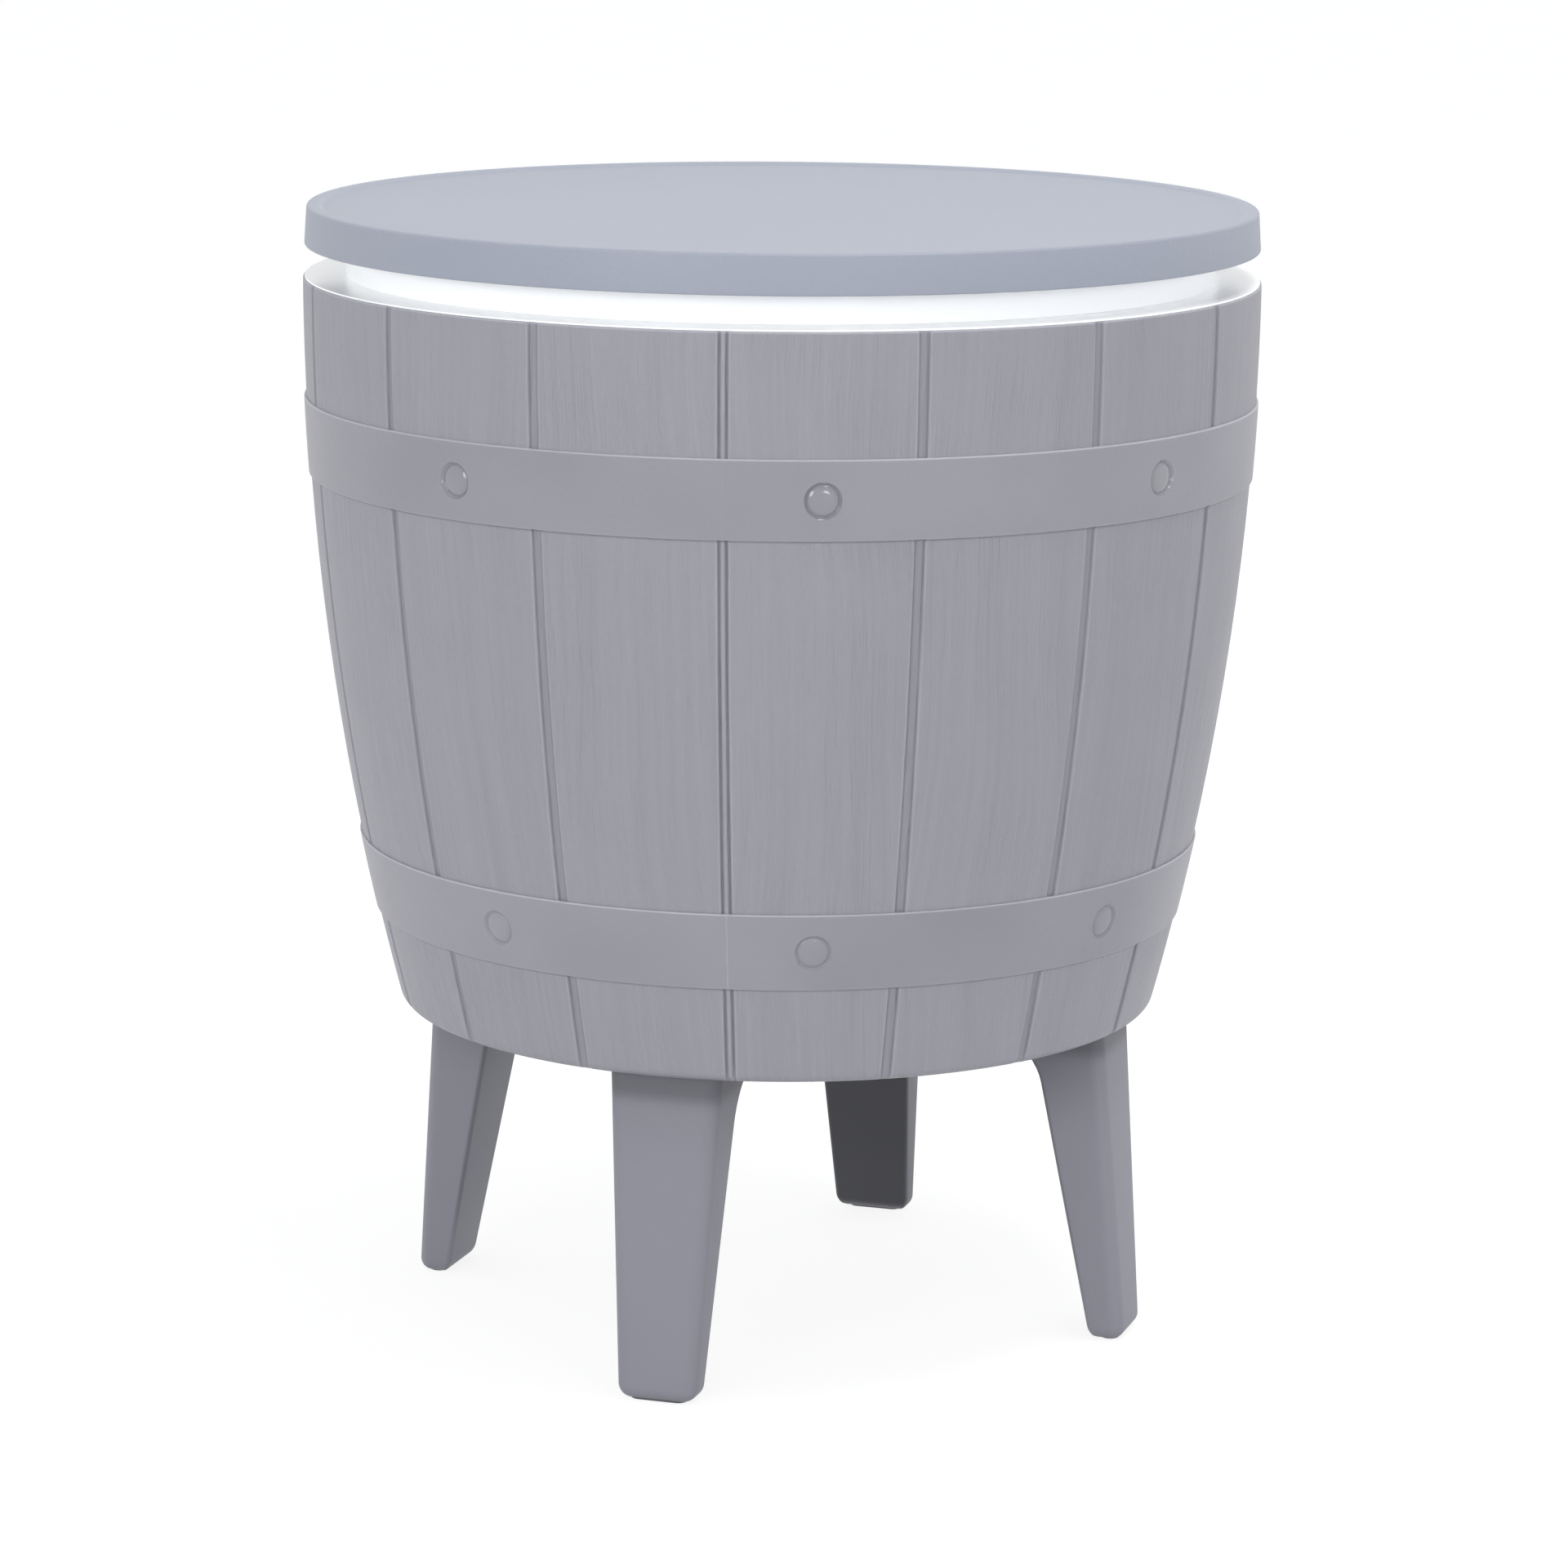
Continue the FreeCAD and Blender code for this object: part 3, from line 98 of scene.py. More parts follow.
def tint(red, green, blue):
    """A colour written as it looks on a screen, 0 to 255, turned into the linear values of a socket."""
    share = np.array([red, green, blue]) / 255
    return tuple(np.where(share <= 0.04045, share / 12.92, ((share + 0.055) / 1.055) ** 2.4).tolist())


# Sizes and colours


def length(name, description, default):
    """A length in metres that the user may change."""
    return bpy.props.FloatProperty(
        name=name, description=description, default=default, unit="LENGTH", precision=5
    )


def degrees(name, description, default):
    """An angle that the user may change."""
    return bpy.props.FloatProperty(
        name=name, description=description, default=math.radians(default), subtype="ANGLE"
    )


def colour(name, description, default):
    """A surface colour that the user may change."""
    return bpy.props.FloatVectorProperty(
        name=name, description=description, default=default, subtype="COLOR", size=3, min=0, max=1
    )


class BarrelSizes(bpy.types.PropertyGroup):
    rim_radius: length("Rim radius", "Outside of the staves at the rim", 248.3 * MM)
    stave_bow: length("Stave bow", "Radius of the long curve of the staves", 1500 * MM)
    rim_height: length("Rim height", "Height of the barrel's rim", top_of("barrel_shell"))
    underside: length("Underside", "Height of the barrel's underside", top_of("leg_front_left"))
    wall: length("Wall", "Thickness of the side", 3.5 * MM)
    floor: length("Floor", "Thickness of the floor", 4 * MM)
    bottom_round: length("Bottom round", "Rounding of the lower edge", 7 * MM)
    lip: length("Lip", "Width of the rim's lip", 2.6 * MM)
    shelf: length("Shelf", "Width of the shelf under the bucket's flange", 6 * MM)
    shelf_height: length("Shelf height", "Height of that shelf", 550 * MM)
    groove: length("Groove", "Width of the flat bottom of the groove between two staves", 4.2 * MM)
    groove_side: length("Groove side", "Width of a groove's curved side", 1.2 * MM)
    groove_depth: length("Groove depth", "Depth of that groove", 1.3 * MM)
    seam_groove: length("Seam groove", "That width in the two grooves with the parting line", 4.1 * MM)
    seam_ridge: length("Seam ridge", "Height of the ridge in those grooves", 1.1 * MM)
    hoop: length("Hoop", "Height of a hoop", 40 * MM)
    hoop_proud: length("Hoop proud", "How far a hoop stands out from the staves", 1.2 * MM)
    hoop_round: length("Hoop round", "Rounding of a hoop's edges", 0.6 * MM)
    upper_hoop: length("Upper hoop", "Lower edge of the upper hoop", 450.8 * MM)
    lower_hoop: length("Lower hoop", "Lower edge of the lower hoop", 221.2 * MM)
    flash: length("Flash", "Height of the parting line on the hoops", 0.45 * MM)
    rivet: length("Rivet", "Radius of a rivet head", 8.0 * MM)
    upper_moat: length("Upper moat", "Depth of the ring cut round an upper rivet head", 1.4 * MM)
    lower_moat: length("Lower moat", "Depth of the ring cut round a lower rivet head", 1.15 * MM)
    crown: length("Crown", "How far the rivet heads stand out from their hoop", 0.1 * MM)
    colour: colour("Colour", "Grey of the barrel", tint(142, 141, 148))


class LidSizes(bpy.types.PropertyGroup):
    radius: length("Radius", "Outside of the skirt at its lower edge", 247.5 * MM)
    draft: length("Draft", "How much narrower the lid is at its rim", 1.3 * MM)
    skirt_foot: length("Skirt foot", "Height of the skirt's lower edge", 569.1 * MM)
    rim_height: length("Rim height", "Height of the raised rim", top_of("table_top"))
    edge_round: length("Edge round", "Rounding of the outer upper edge", 1.6 * MM)
    rim: length("Rim", "Width of the raised rim", 6 * MM)
    rim_step: length("Rim step", "Height of the rim above the table surface", 1.3 * MM)
    slope: length("Slope", "Width of the slope inside the rim", 2.5 * MM)
    wall: length("Wall", "Thickness of plate and skirt", 3 * MM)
    band_radius: length("Band radius", "Outside of the white wall under the lid", reach_of("lid_underside"))
    band_wall: length("Band wall", "Thickness of the white underside", 3 * MM)
    band_round: length("Band round", "Rounding of the white wall's lower edge", 0.35 * MM)
    colour: colour("Colour", "Grey of the table top", tint(155, 160, 172))
    white: colour("White", "White of the underside", tint(253, 254, 254))


class BucketSizes(bpy.types.PropertyGroup):
    flange: length("Flange", "Outside of the flange inside the barrel's lip", reach_of("ice_bucket"))
    flange_lip: length("Flange lip", "Outside of the thin lip that lies on the barrel's rim", 247.4 * MM)
    ledge: length("Ledge", "Height of the white ledge", top_of("ice_bucket"))
    flange_thick: length("Flange thickness", "Thickness of the flange", 3 * MM)
    mouth: length("Mouth", "Radius of the bucket's mouth", 221.5 * MM)
    floor_radius: length("Floor radius", "Radius of the wall, extended down to the floor", 198 * MM)
    basin: length("Basin", "Height of the basin's floor", foot_of("ice_bucket") + 3 * MM)
    basin_round: length("Basin round", "Rounding between wall and floor", 20 * MM)
    wall: length("Wall", "Thickness of the bucket", 3 * MM)
    column: length("Column", "Radius of the centre column at its top", 37 * MM)
    column_draft: length("Column draft", "How much wider the column is at the floor", 2 * MM)
    column_drop: length("Column drop", "From the ledge down to the column's top", 5 * MM)
    white: colour("White", "White of the ice bucket", tint(253, 254, 254))


class LegSizes(bpy.types.PropertyGroup):
    foot_reach: length("Foot reach", "Outer face of a leg at the foot", 198.69 * MM)
    top_reach: length("Top reach", "Outer face of a leg at the barrel", 186.19 * MM)
    foot_depth: length("Foot depth", "Leg, front to back at the foot", 18.5 * MM)
    top_depth: length("Top depth", "Leg, front to back at the barrel", 38.7 * MM)
    foot_width: length("Foot width", "Leg, side to side at the foot", 42 * MM)
    top_width: length("Top width", "Leg, side to side at the barrel", 59.4 * MM)
    foot_height: length("Foot height", "Height where the foot's sizes are taken", foot_of("leg_front_left"))
    sole: length("Sole", "Lower end of the leg, just above the underside of its glide", 0.8 * MM)
    top_height: length("Top height", "Upper end of the leg", top_of("leg_front_left"))
    long_round: length("Long round", "Rounding of the outer long edges", 8 * MM)
    inner_round: length("Inner round", "Rounding of the inner long edges", 3 * MM)
    foot_round: length("Foot round", "Height of the rounding round the foot", 7 * MM)
    toe: length("Toe", "How far the foot's outer face is drawn in at the sole", 6.5 * MM)
    heel: length("Heel", "How far its inner face is drawn in there", 5 * MM)
    foot_side: length("Foot side", "How far its side faces are drawn in there", 6.5 * MM)
    flange: length("Flange", "Thickness of the mounting flange", 4 * MM)
    flange_end: length("Flange end", "Inner end of that flange", 109 * MM)
    flare: length("Flare", "Hollow curve between leg and flange", 27 * MM)
    colour: colour("Colour", "Grey of the legs", tint(128, 128, 136))


class StageSettings(bpy.types.PropertyGroup):
    lens: bpy.props.FloatProperty(
        name="Lens", description="Focal length", default=126.9, subtype="DISTANCE_CAMERA"
    )
    distance: length("Distance", "Camera from the centre line, along the floor", 2.868)
    height: length("Height", "Camera above the floor", 0.8662)
    azimuth: degrees("Azimuth", "Turn of the camera round the table", -27.25)
    pitch: degrees("Pitch", "Tilt of the camera below level", 11.508)
    yaw: degrees("Yaw", "Turn of the camera off the centre line", 0.061)
    roll: degrees("Roll", "Lean of the camera to its left", 0.482)
    floor: colour("Floor", "Colour of the floor", tint(204, 205, 207))


# Surfaces


def grid_faces(rows, columns, wrap_rows=False):
    """Quads between neighbouring points of a grid, numbered row by row. Each row closes on itself."""
    down = np.arange(rows if wrap_rows else rows - 1)[:, None] * columns
    next_down = (down + columns) % (rows * columns)
    across = np.arange(columns)
    next_across = (across + 1) % columns
    corners = (down + across, down + next_across, next_down + next_across, next_down + across)
    return np.stack(corners, axis=-1).reshape(-1, 4)


def shell(grid, wrap_rows=False):
    """A grid of points as a part."""
    return grid.reshape(-1, 3), grid_faces(*grid.shape[:2], wrap_rows)


def capped(grid):
    """A grid whose first and last row are each closed by a row in their middle."""
    middle = np.broadcast_to(grid.mean(axis=1, keepdims=True), grid.shape)
    return np.concatenate([middle[:1], grid, middle[-1:]])


def polar(radius, angle, height):
    """Points at a radius and an angle about the centre line, and at a height."""
    points = np.broadcast_arrays(radius * np.cos(angle), radius * np.sin(angle), height)
    return np.stack(points, axis=-1)


def full_turn(steps):
    """Equal angles all round."""
    return np.linspace(0, 2 * np.pi, steps, endpoint=False)


def turned(profile, steps, closed=False):
    """A profile of radius and height carried round the centre line. A closed one gives a ring."""
    return shell(polar(profile[:, :1], full_turn(steps), profile[:, 1:]), closed)


def arc_points(corner, before, after, radius, steps):
    """Points of the arc that rounds a corner: tangent to both sides, at equal turns about its centre."""
    back = (before - corner) / np.linalg.norm(before - corner)
    ahead = (after - corner) / np.linalg.norm(after - corner)
    half = np.arccos(np.clip(back @ ahead, -1, 1)) / 2
    inward = (back + ahead) / np.linalg.norm(back + ahead)
    centre = corner + inward * radius / np.sin(half)
    start = corner + back * radius / np.tan(half) - centre
    end = corner + ahead * radius / np.tan(half) - centre
    turn = np.arctan2(start[0] * end[1] - start[1] * end[0], start @ end)
    angle = np.linspace(0, turn, steps)[:, None]
    return centre + start * np.cos(angle) + np.array([-start[1], start[0]]) * np.sin(angle)


def rounded(corners, radii, steps):
    """A polygon whose corners are replaced by arcs. A radius of 0 leaves a sharp corner."""
    points = np.array(corners, float)
    sides = zip(points, np.roll(points, 1, axis=0), np.roll(points, -1, axis=0), radii)
    return np.concatenate([
        arc_points(corner, before, after, radius, steps) if radius else corner[None, :]
        for corner, before, after, radius in sides
    ])


def ring_section(node, inner, outer, radii, steps):
    """Section of a flat ring as high as a node, with a rounding for each corner."""
    low, high = foot_of(node), top_of(node)
    return rounded([(inner, low), (outer, low), (outer, high), (inner, high)], radii, steps)


def moved(part, matrix):
    """A part's points taken through a 4 by 4 matrix."""
    points, faces = part
    matrix = np.array(matrix)
    return points @ matrix[:3, :3].T + matrix[:3, 3], faces


def joined(parts):
    """Several parts as one."""
    starts = np.cumsum([0] + [len(points) for points, _ in parts])
    faces = [faces + start for (_, faces), start in zip(parts, starts)]
    return np.concatenate([points for points, _ in parts]), np.concatenate(faces)


def block_part(low, high, turn=0.0):
    """A box from its two corners, turned about the centre line."""
    share = np.indices((2, 2, 2)).reshape(3, -1).T
    points = np.array(low) + share * (np.array(high) - np.array(low))
    faces = np.array([[0, 1, 3, 2], [4, 6, 7, 5], [0, 4, 5, 1], [2, 3, 7, 6], [0, 2, 6, 4], [1, 5, 7, 3]])
    return moved((points, faces), Matrix.Rotation(turn, 4, "Z"))


def post_part(radius, low, high, east=0.0, north=0.0):
    """An upright round post with flat ends."""
    part = turned(np.array([(0, low), (radius, low), (radius, high), (0, high)]), 24)
    return moved(part, Matrix.Translation((east, north, 0)))


def new_mesh(name, part):
    """A part as a mesh."""
    mesh = bpy.data.meshes.new(name)
    mesh.from_pydata(part[0].tolist(), [], part[1].tolist())
    return mesh


def finished(mesh, material, smooth_angle=35, outward=True):
    """An object of a mesh, with its doubles merged, its faces outwards and its sharp edges kept."""
    work = bmesh.new()
    work.from_mesh(mesh)
    bmesh.ops.remove_doubles(work, verts=work.verts, dist=1e-6)
    bmesh.ops.dissolve_degenerate(work, edges=work.edges, dist=1e-7)
    if outward:
        bmesh.ops.recalc_face_normals(work, faces=work.faces)
    work.to_mesh(mesh)
    work.free()
    mesh.materials.append(material)
    mesh.polygons.foreach_set("use_smooth", np.ones(len(mesh.polygons), bool))
    mesh.set_sharp_from_angle(angle=math.radians(smooth_angle))
    result = bpy.data.objects.new(mesh.name, mesh)
    bpy.context.scene.collection.objects.link(result)
    return result


def seat(result, body, slot, *nodes):
    """Gives a piece its body and hides the nodes it stands for; its slot is not used."""
    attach(result, body)
    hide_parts(*nodes)
    return result


def fit(name, part, material, body, slot, node):
    """Makes a piece of a part and seats it."""
    return seat(finished(new_mesh(name, part), material), body, slot, node)


def points_of(mesh):
    """The points of a mesh as an array."""
    points = np.empty(len(mesh.vertices) * 3)
    mesh.vertices.foreach_get("co", points)
    return points.reshape(-1, 3)


def write_values(mesh, name, values):
    """A value for each point of a mesh, which its material reads by its name."""
    layer = mesh.attributes.new(name, "FLOAT", "POINT")
    layer.data.foreach_set("value", values.astype(np.float32))


# Materials


def feed(tree, node, sockets):
    """Gives each named socket of a node its plain value, or a link from the output that stands there."""
    for socket, value in sockets.items():
        if isinstance(value, bpy.types.NodeSocket):
            tree.links.new(value, node.inputs[socket])
        else:
            node.inputs[socket].default_value = value


def add_node(tree, kind, sockets=None, **settings):
    """The outputs of a new shader node, made with its settings and its sockets' values and links."""
    node = tree.nodes.new(kind)
    for name, value in settings.items():
        setattr(node, name, value)
    feed(tree, node, sockets or {})
    return node.outputs


def maths(tree, operation, first, second, kind="ShaderNodeMath"):
    """One operation on two values."""
    return add_node(tree, kind, {0: first, 1: second}, operation=operation)[0]


def vector_maths(tree, operation, first, second):
    """One operation on two vectors."""
    return maths(tree, operation, first, second, "ShaderNodeVectorMath")


def mixed(tree, factor, low, high, kind="FLOAT"):
    """A value between two others, by a factor from 0 to 1."""
    sockets = {"Factor": factor, "A": low, "B": high}
    return add_node(tree, "ShaderNodeMix", sockets, data_type=kind)["Result"]


def ranged(tree, value, low, high, start=0.0, end=1.0, **settings):
    """A value that goes from low to high while another goes from start to end."""
    sockets = {"Value": value, "From Min": start, "From Max": end, "To Min": low, "To Max": high}
    return add_node(tree, "ShaderNodeMapRange", sockets, **settings)["Result"]


def noise(tree, vector, scale, detail, roughness=0.5, **more):
    """Noise at a place, with its value and its colour."""
    sockets = {"Vector": vector, "Scale": scale, "Detail": detail, "Roughness": roughness, **more}
    return add_node(tree, "ShaderNodeTexNoise", sockets)


def new_group(name, numbers, results):
    """An empty shader node group with a Vector, some numbers with their defaults, and some results."""
    tree = bpy.data.node_groups.new(name, "ShaderNodeTree")
    tree.interface.new_socket(name="Vector", in_out="INPUT", socket_type="NodeSocketVector")
    for label, default in numbers.items():
        socket = tree.interface.new_socket(name=label, in_out="INPUT", socket_type="NodeSocketFloat")
        socket.default_value = default
    for label in results:
        tree.interface.new_socket(name=label, in_out="OUTPUT", socket_type="NodeSocketFloat")
    return tree, tree.nodes.new("NodeGroupInput").outputs, tree.nodes.new("NodeGroupOutput")


def moulded_grain():
    """Fine pebbled grain of moulded plastic: a close noise over a wider, softer one."""
    name = "Moulded grain"
    if name in bpy.data.node_groups:
        return bpy.data.node_groups[name]
    numbers = {"Pebbles per metre": 900.0, "Waviness": 0.35}
    tree, given, end = new_group(name, numbers, ("Height", "Patches"))
    place = given["Vector"]
    fine = noise(tree, place, given["Pebbles per metre"], 3.0, 0.55)["Fac"]
    wide = noise(tree, place, 55.0, 2.0)["Fac"]
    patches = noise(tree, place, 9.0, 2.0)["Fac"]
    feed(tree, end, {"Height": mixed(tree, given["Waviness"], fine, wide), "Patches": patches})
    return tree


def wood_grain():
    """Embossed wood grain that runs up a stave: wavy bands, long streaks and finer lines between them."""
    name = "Wood grain"
    if name in bpy.data.node_groups:
        return bpy.data.node_groups[name]
    numbers = {"Streaks per metre": 240.0, "Stretch": 40.0}
    tree, given, end = new_group(name, numbers, ("Height", "Lines", "Shade"))
    place, close = given["Vector"], given["Streaks per metre"]
    wander = vector_maths(tree, "SUBTRACT", noise(tree, place, 5.0, 1.0)["Color"], (0.5, 0.5, 0.5))
    sideways = vector_maths(tree, "MULTIPLY", wander, (0.03, 0.0, 0.0))
    bent = vector_maths(tree, "ADD", place, sideways)
    shrink = maths(tree, "DIVIDE", 1.0, given["Stretch"])
    long_way = add_node(tree, "ShaderNodeCombineXYZ", {"X": 1.0, "Y": shrink, "Z": 1.0})["Vector"]
    stretched = vector_maths(tree, "MULTIPLY", bent, long_way)
    streaks = noise(tree, stretched, close, 4.0, 0.62, Distortion=0.2)["Fac"]
    lines = noise(tree, stretched, maths(tree, "MULTIPLY", close, 2.6), 2.0)["Fac"]
    cut = ranged(tree, lines, 0.0, 1.0, 0.40, 0.60)
    patchy = ranged(tree, noise(tree, place, 16.0, 1.0)["Fac"], 0.35, 1.0, 0.35, 0.65)
    shade = noise(tree, stretched, maths(tree, "MULTIPLY", close, 0.22), 3.0, 0.6)["Fac"]
    height = mixed(tree, 0.28, streaks, maths(tree, "MULTIPLY", cut, patchy))
    feed(tree, end, {"Height": height, "Lines": streaks, "Shade": shade})
    return tree


def grain_of(tree, group, sockets):
    """The outputs of a grain group in a material. Without a Vector it reads the place on the object."""
    if "Vector" not in sockets:
        sockets["Vector"] = add_node(tree, "ShaderNodeTexCoord")["Object"]
    return add_node(tree, "ShaderNodeGroup", sockets, node_tree=group)


def start_material(name, values):
    """A new material, its node tree and its Principled BSDF with plain values on its own sockets."""
    material = bpy.data.materials.new(name)
    material.use_nodes = True
    shader = material.node_tree.nodes["Principled BSDF"]
    feed(material.node_tree, shader, values)
    return material, material.node_tree, shader


def varied(tree, base, factor, spread):
    """A colour that is darker or lighter than its base by up to a spread, by a factor from 0 to 1."""
    dark = [channel * (1 - spread) for channel in base] + [1]
    light = [min(1.0, channel * (1 + spread)) for channel in base] + [1]
    return mixed(tree, factor, dark, light, "RGBA")


def dimmed(tree, base, factor):
    """A colour times a factor."""
    return add_node(tree, "ShaderNodeVectorMath", {0: base, "Scale": factor}, operation="SCALE")[0]


def point_value(tree, name, low, high):
    """A value that goes from low to high while a point value of the mesh goes from 0 to 1."""
    source = add_node(tree, "ShaderNodeAttribute", attribute_name=name)["Fac"]
    return ranged(tree, source, low, high, clamp=False)


def point_product(tree, ranges):
    """Several such values multiplied."""
    result, *others = [point_value(tree, *ends) for ends in ranges]
    for other in others:
        result = maths(tree, "MULTIPLY", result, other)
    return result


def relief(tree, height, depth):
    """The normal of a bump whose full height is a depth in metres."""
    return add_node(tree, "ShaderNodeBump", {"Strength": 1.0, "Distance": depth, "Height": height})["Normal"]


def moulded_plastic(
    name, base, roughness, pebbles, depth, spread, waviness=0.35, shade=None, gloss=0.5, glow=0.0
):
    """Moulded plastic or rubber: its colour drifts by a spread in wide patches and its face has a fine grain.

    pebbles are counted per metre, and depth is the grain's. shade names a point value from 0 to 1 that the
    colour is multiplied by. gloss is the specular level, and glow a light of its own.
    """
    plain = {"Roughness": roughness, "Specular IOR Level": gloss, "Emission Strength": glow}
    material, tree, shader = start_material(name, plain)
    grain = grain_of(tree, moulded_grain(), {"Pebbles per metre": pebbles, "Waviness": waviness})
    shown = varied(tree, base, grain["Patches"], spread)
    if shade:
        shown = dimmed(tree, shown, point_value(tree, shade, 0.0, 1.0))
    rough = ranged(tree, grain["Patches"], roughness - 0.05, roughness + 0.05)
    normal = relief(tree, grain["Height"], depth)
    feed(tree, shader, {"Base Color": shown, "Roughness": rough, "Normal": normal})
    return material


def black_rubber(name):
    """Rubber of the wiper, the seal and the stopper."""
    return moulded_plastic(name, tint(44, 44, 46), 0.62, 1500.0, 0.04 * MM, 0.05)


def stave_plastic(base):
    """Barrel plastic: embossed wood grain on the staves, a plain fine grain on hoops and rivets.

    Painted highlights make the rounded edges lighter, and painted shade darkens the groove bottoms and the
    crease under a hoop; the hoops are a little darker too, and the rivet heads have a hard gloss.
    """
    plain = {"Specular IOR Level": 0.5, "Coat IOR": 2.0, "Coat Roughness": 0.09}
    material, tree, shader = start_material("barrel_plastic", plain)
    along = add_node(tree, "ShaderNodeUVMap", uv_map="grain")["UV"]
    wood = grain_of(tree, wood_grain(), {"Vector": along, "Stretch": 45.0})
    skin = grain_of(tree, moulded_grain(), {"Pebbles per metre": 420.0})
    smooth = point_value(tree, "smooth_face", 0.0, 1.0)
    soft = maths(tree, "MULTIPLY", skin["Height"], 0.45)
    height = mixed(tree, smooth, maths(tree, "ADD", wood["Height"], soft), soft)
    height = mixed(tree, point_value(tree, "polish", 0.0, 1.0), height, 0.225)
    streaked = mixed(tree, 0.6, wood["Shade"], wood["Lines"])
    tone = mixed(tree, smooth, streaked, skin["Patches"])
    # Painted highlights lighten the rounded edges, and painted shade darkens the creases.
    strength = point_product(tree, [
        ("smooth_face", 1.0, 0.965), ("polish", 1.0, 0.86),
        # groove_depth darkens the groove bottoms with painted shade.
        ("groove_depth", 1.0, 0.93), ("worn_edge", 1.0, 1.5),
    ])
    feed(tree, shader, {
        "Base Color": dimmed(tree, varied(tree, base, tone, 0.16), strength),
        "Roughness": point_product(tree, [("smooth_face", 0.46, 0.40), ("polish", 1.0, 0.42)]),
        "Coat Weight": point_value(tree, "polish", 0.0, 0.4),
        "Normal": relief(tree, height, 0.9 * MM),
    })
    return material


def drawn_metal(name, base, roughness, lines):
    """Drawn or turned metal: fine lines along its length, which also vary its roughness."""
    material, tree, shader = start_material(name, {"Metallic": 1.0, "Base Color": (*base, 1)})
    turn = {"Vector": add_node(tree, "ShaderNodeTexCoord")["Object"], "Rotation": (math.pi / 2, 0, 0)}
    upright = add_node(tree, "ShaderNodeMapping", turn)["Vector"]
    grain = grain_of(tree, wood_grain(), {"Vector": upright, "Streaks per metre": lines})
    feed(tree, shader, {
        "Base Color": varied(tree, base, grain["Lines"], 0.06),
        "Roughness": ranged(tree, grain["Lines"], roughness - 0.08, roughness + 0.08),
        "Normal": relief(tree, grain["Height"], 0.02 * MM),
    })
    return material


# The barrel


def smooth_step(low, high, value):
    """0 below low, 1 above high, and between them a smooth S."""
    share = np.clip((value - low) / (high - low), 0, 1)
    return share * share * (3 - 2 * share)


def bell(distance, width):
    """A bell curve: 1 in its middle, and a third of that at its width."""
    return np.exp(-((distance / width) ** 2))


def stave_radius(sizes, height):
    """Outside of the staves at a height: one long arc, widest at the rim."""
    fall = sizes.rim_height - height
    return sizes.rim_radius - sizes.stave_bow + np.sqrt(sizes.stave_bow**2 - fall**2)


def barrel_rows(sizes):
    """Rows of the barrel's closed section: radius, height, share of hoop, share of groove and painted light.

    It starts at the middle of the underside and goes out, up the side, over the lip and down inside. A row
    without a radius of its own lies on the staves' arc. Painted light above 0 is a painted highlight on an
    edge, and below 0 the painted shade of a crease.
    """
    rows = []

    def add(height, hoop=0.0, painted_light=0.0, groove=1.0, radius=None):
        radius = stave_radius(sizes, np.array(height)) if radius is None else radius
        rows.append(np.stack(np.broadcast_arrays(radius, height, hoop, groove, painted_light), axis=-1).reshape(-1, 5))

    underside = sizes.underside
    foot = stave_radius(sizes, underside)
    add(underside, groove=0.0, radius=np.linspace(0, foot - 20 * MM, 4))
    corner = np.array([foot, underside])
    up_the_side = corner + [stave_radius(sizes, underside + 30 * MM) - foot, 30 * MM]
    bend = arc_points(corner, corner - [50 * MM, 0], up_the_side, sizes.bottom_round, 9)
    add(bend[:, 1], groove=np.linspace(0.15, 1, 9), radius=bend[:, 0])
    level = bend[-1, 1]
    edge = sizes.hoop_round / sizes.hoop_proud
    quarter = np.linspace(0, np.pi / 2, 6)
    rise = sizes.hoop_round * (1 - np.cos(quarter))
    share = 1 - edge + edge * np.sin(quarter)
    margin = 1.6 * sizes.hoop_round
    for low in (sizes.lower_hoop, sizes.upper_hoop):
        high = low + sizes.hoop
        add(np.linspace(level, low - 1.15 * MM, 10)[1:])
        # Below each hoop a painted shade lies in the crease, and painted highlights lie on the hoop's rounded
        # edges.
        add([low - 0.6 * MM, low], painted_light=[-0.5, -0.7])
        add([low, low], [0.25, 1 - edge], [-0.7, -0.25])
        add(low + rise[1:], share[1:], 0.2)
        add(np.linspace(low + margin, high - margin, HOOP_ROWS), 1.0)
        add(high - rise[::-1], share[::-1], 1.0)
        add([high, high], [0.25, 0.0], [0.4, 0.0])
        level = high
    top = sizes.rim_height
    add(top - MM * np.array([36, 22, 10, 6, 4, 2.8, 1.8, 1.2]))
    rim = stave_radius(sizes, top)
    inward, drop = MM * np.array([[0.02, 0.15, 0.4, 0.8], [0.8, 0.4, 0.12, 0]])
    # A painted highlight lies on the rim's rounded top edge.
    add(top - drop, painted_light=0.6, radius=rim - inward)
    lip = rim - sizes.lip
    shelf = lip - sizes.shelf
    shelf_low = sizes.shelf_height - 3 * MM
    shelf_rows = [top, sizes.shelf_height, sizes.shelf_height, shelf_low]
    add(shelf_rows, groove=0.0, radius=[lip, lip, shelf, shelf])
    floor = underside + sizes.floor
    inside = np.linspace(shelf_low - sizes.shelf, floor + 4 * MM, 5)
    inner = stave_radius(sizes, inside) - sizes.wall
    add(inside, groove=0.0, radius=inner)
    add(floor, groove=0.0, radius=[inner[-1] - 4 * MM, inner[-1] / 2, 0.0])
    return np.concatenate(rows)


def half_bottom(sizes, seam):
    """Half the width of a groove's flat bottom."""
    return np.where(seam, sizes.seam_groove, sizes.groove) / 2


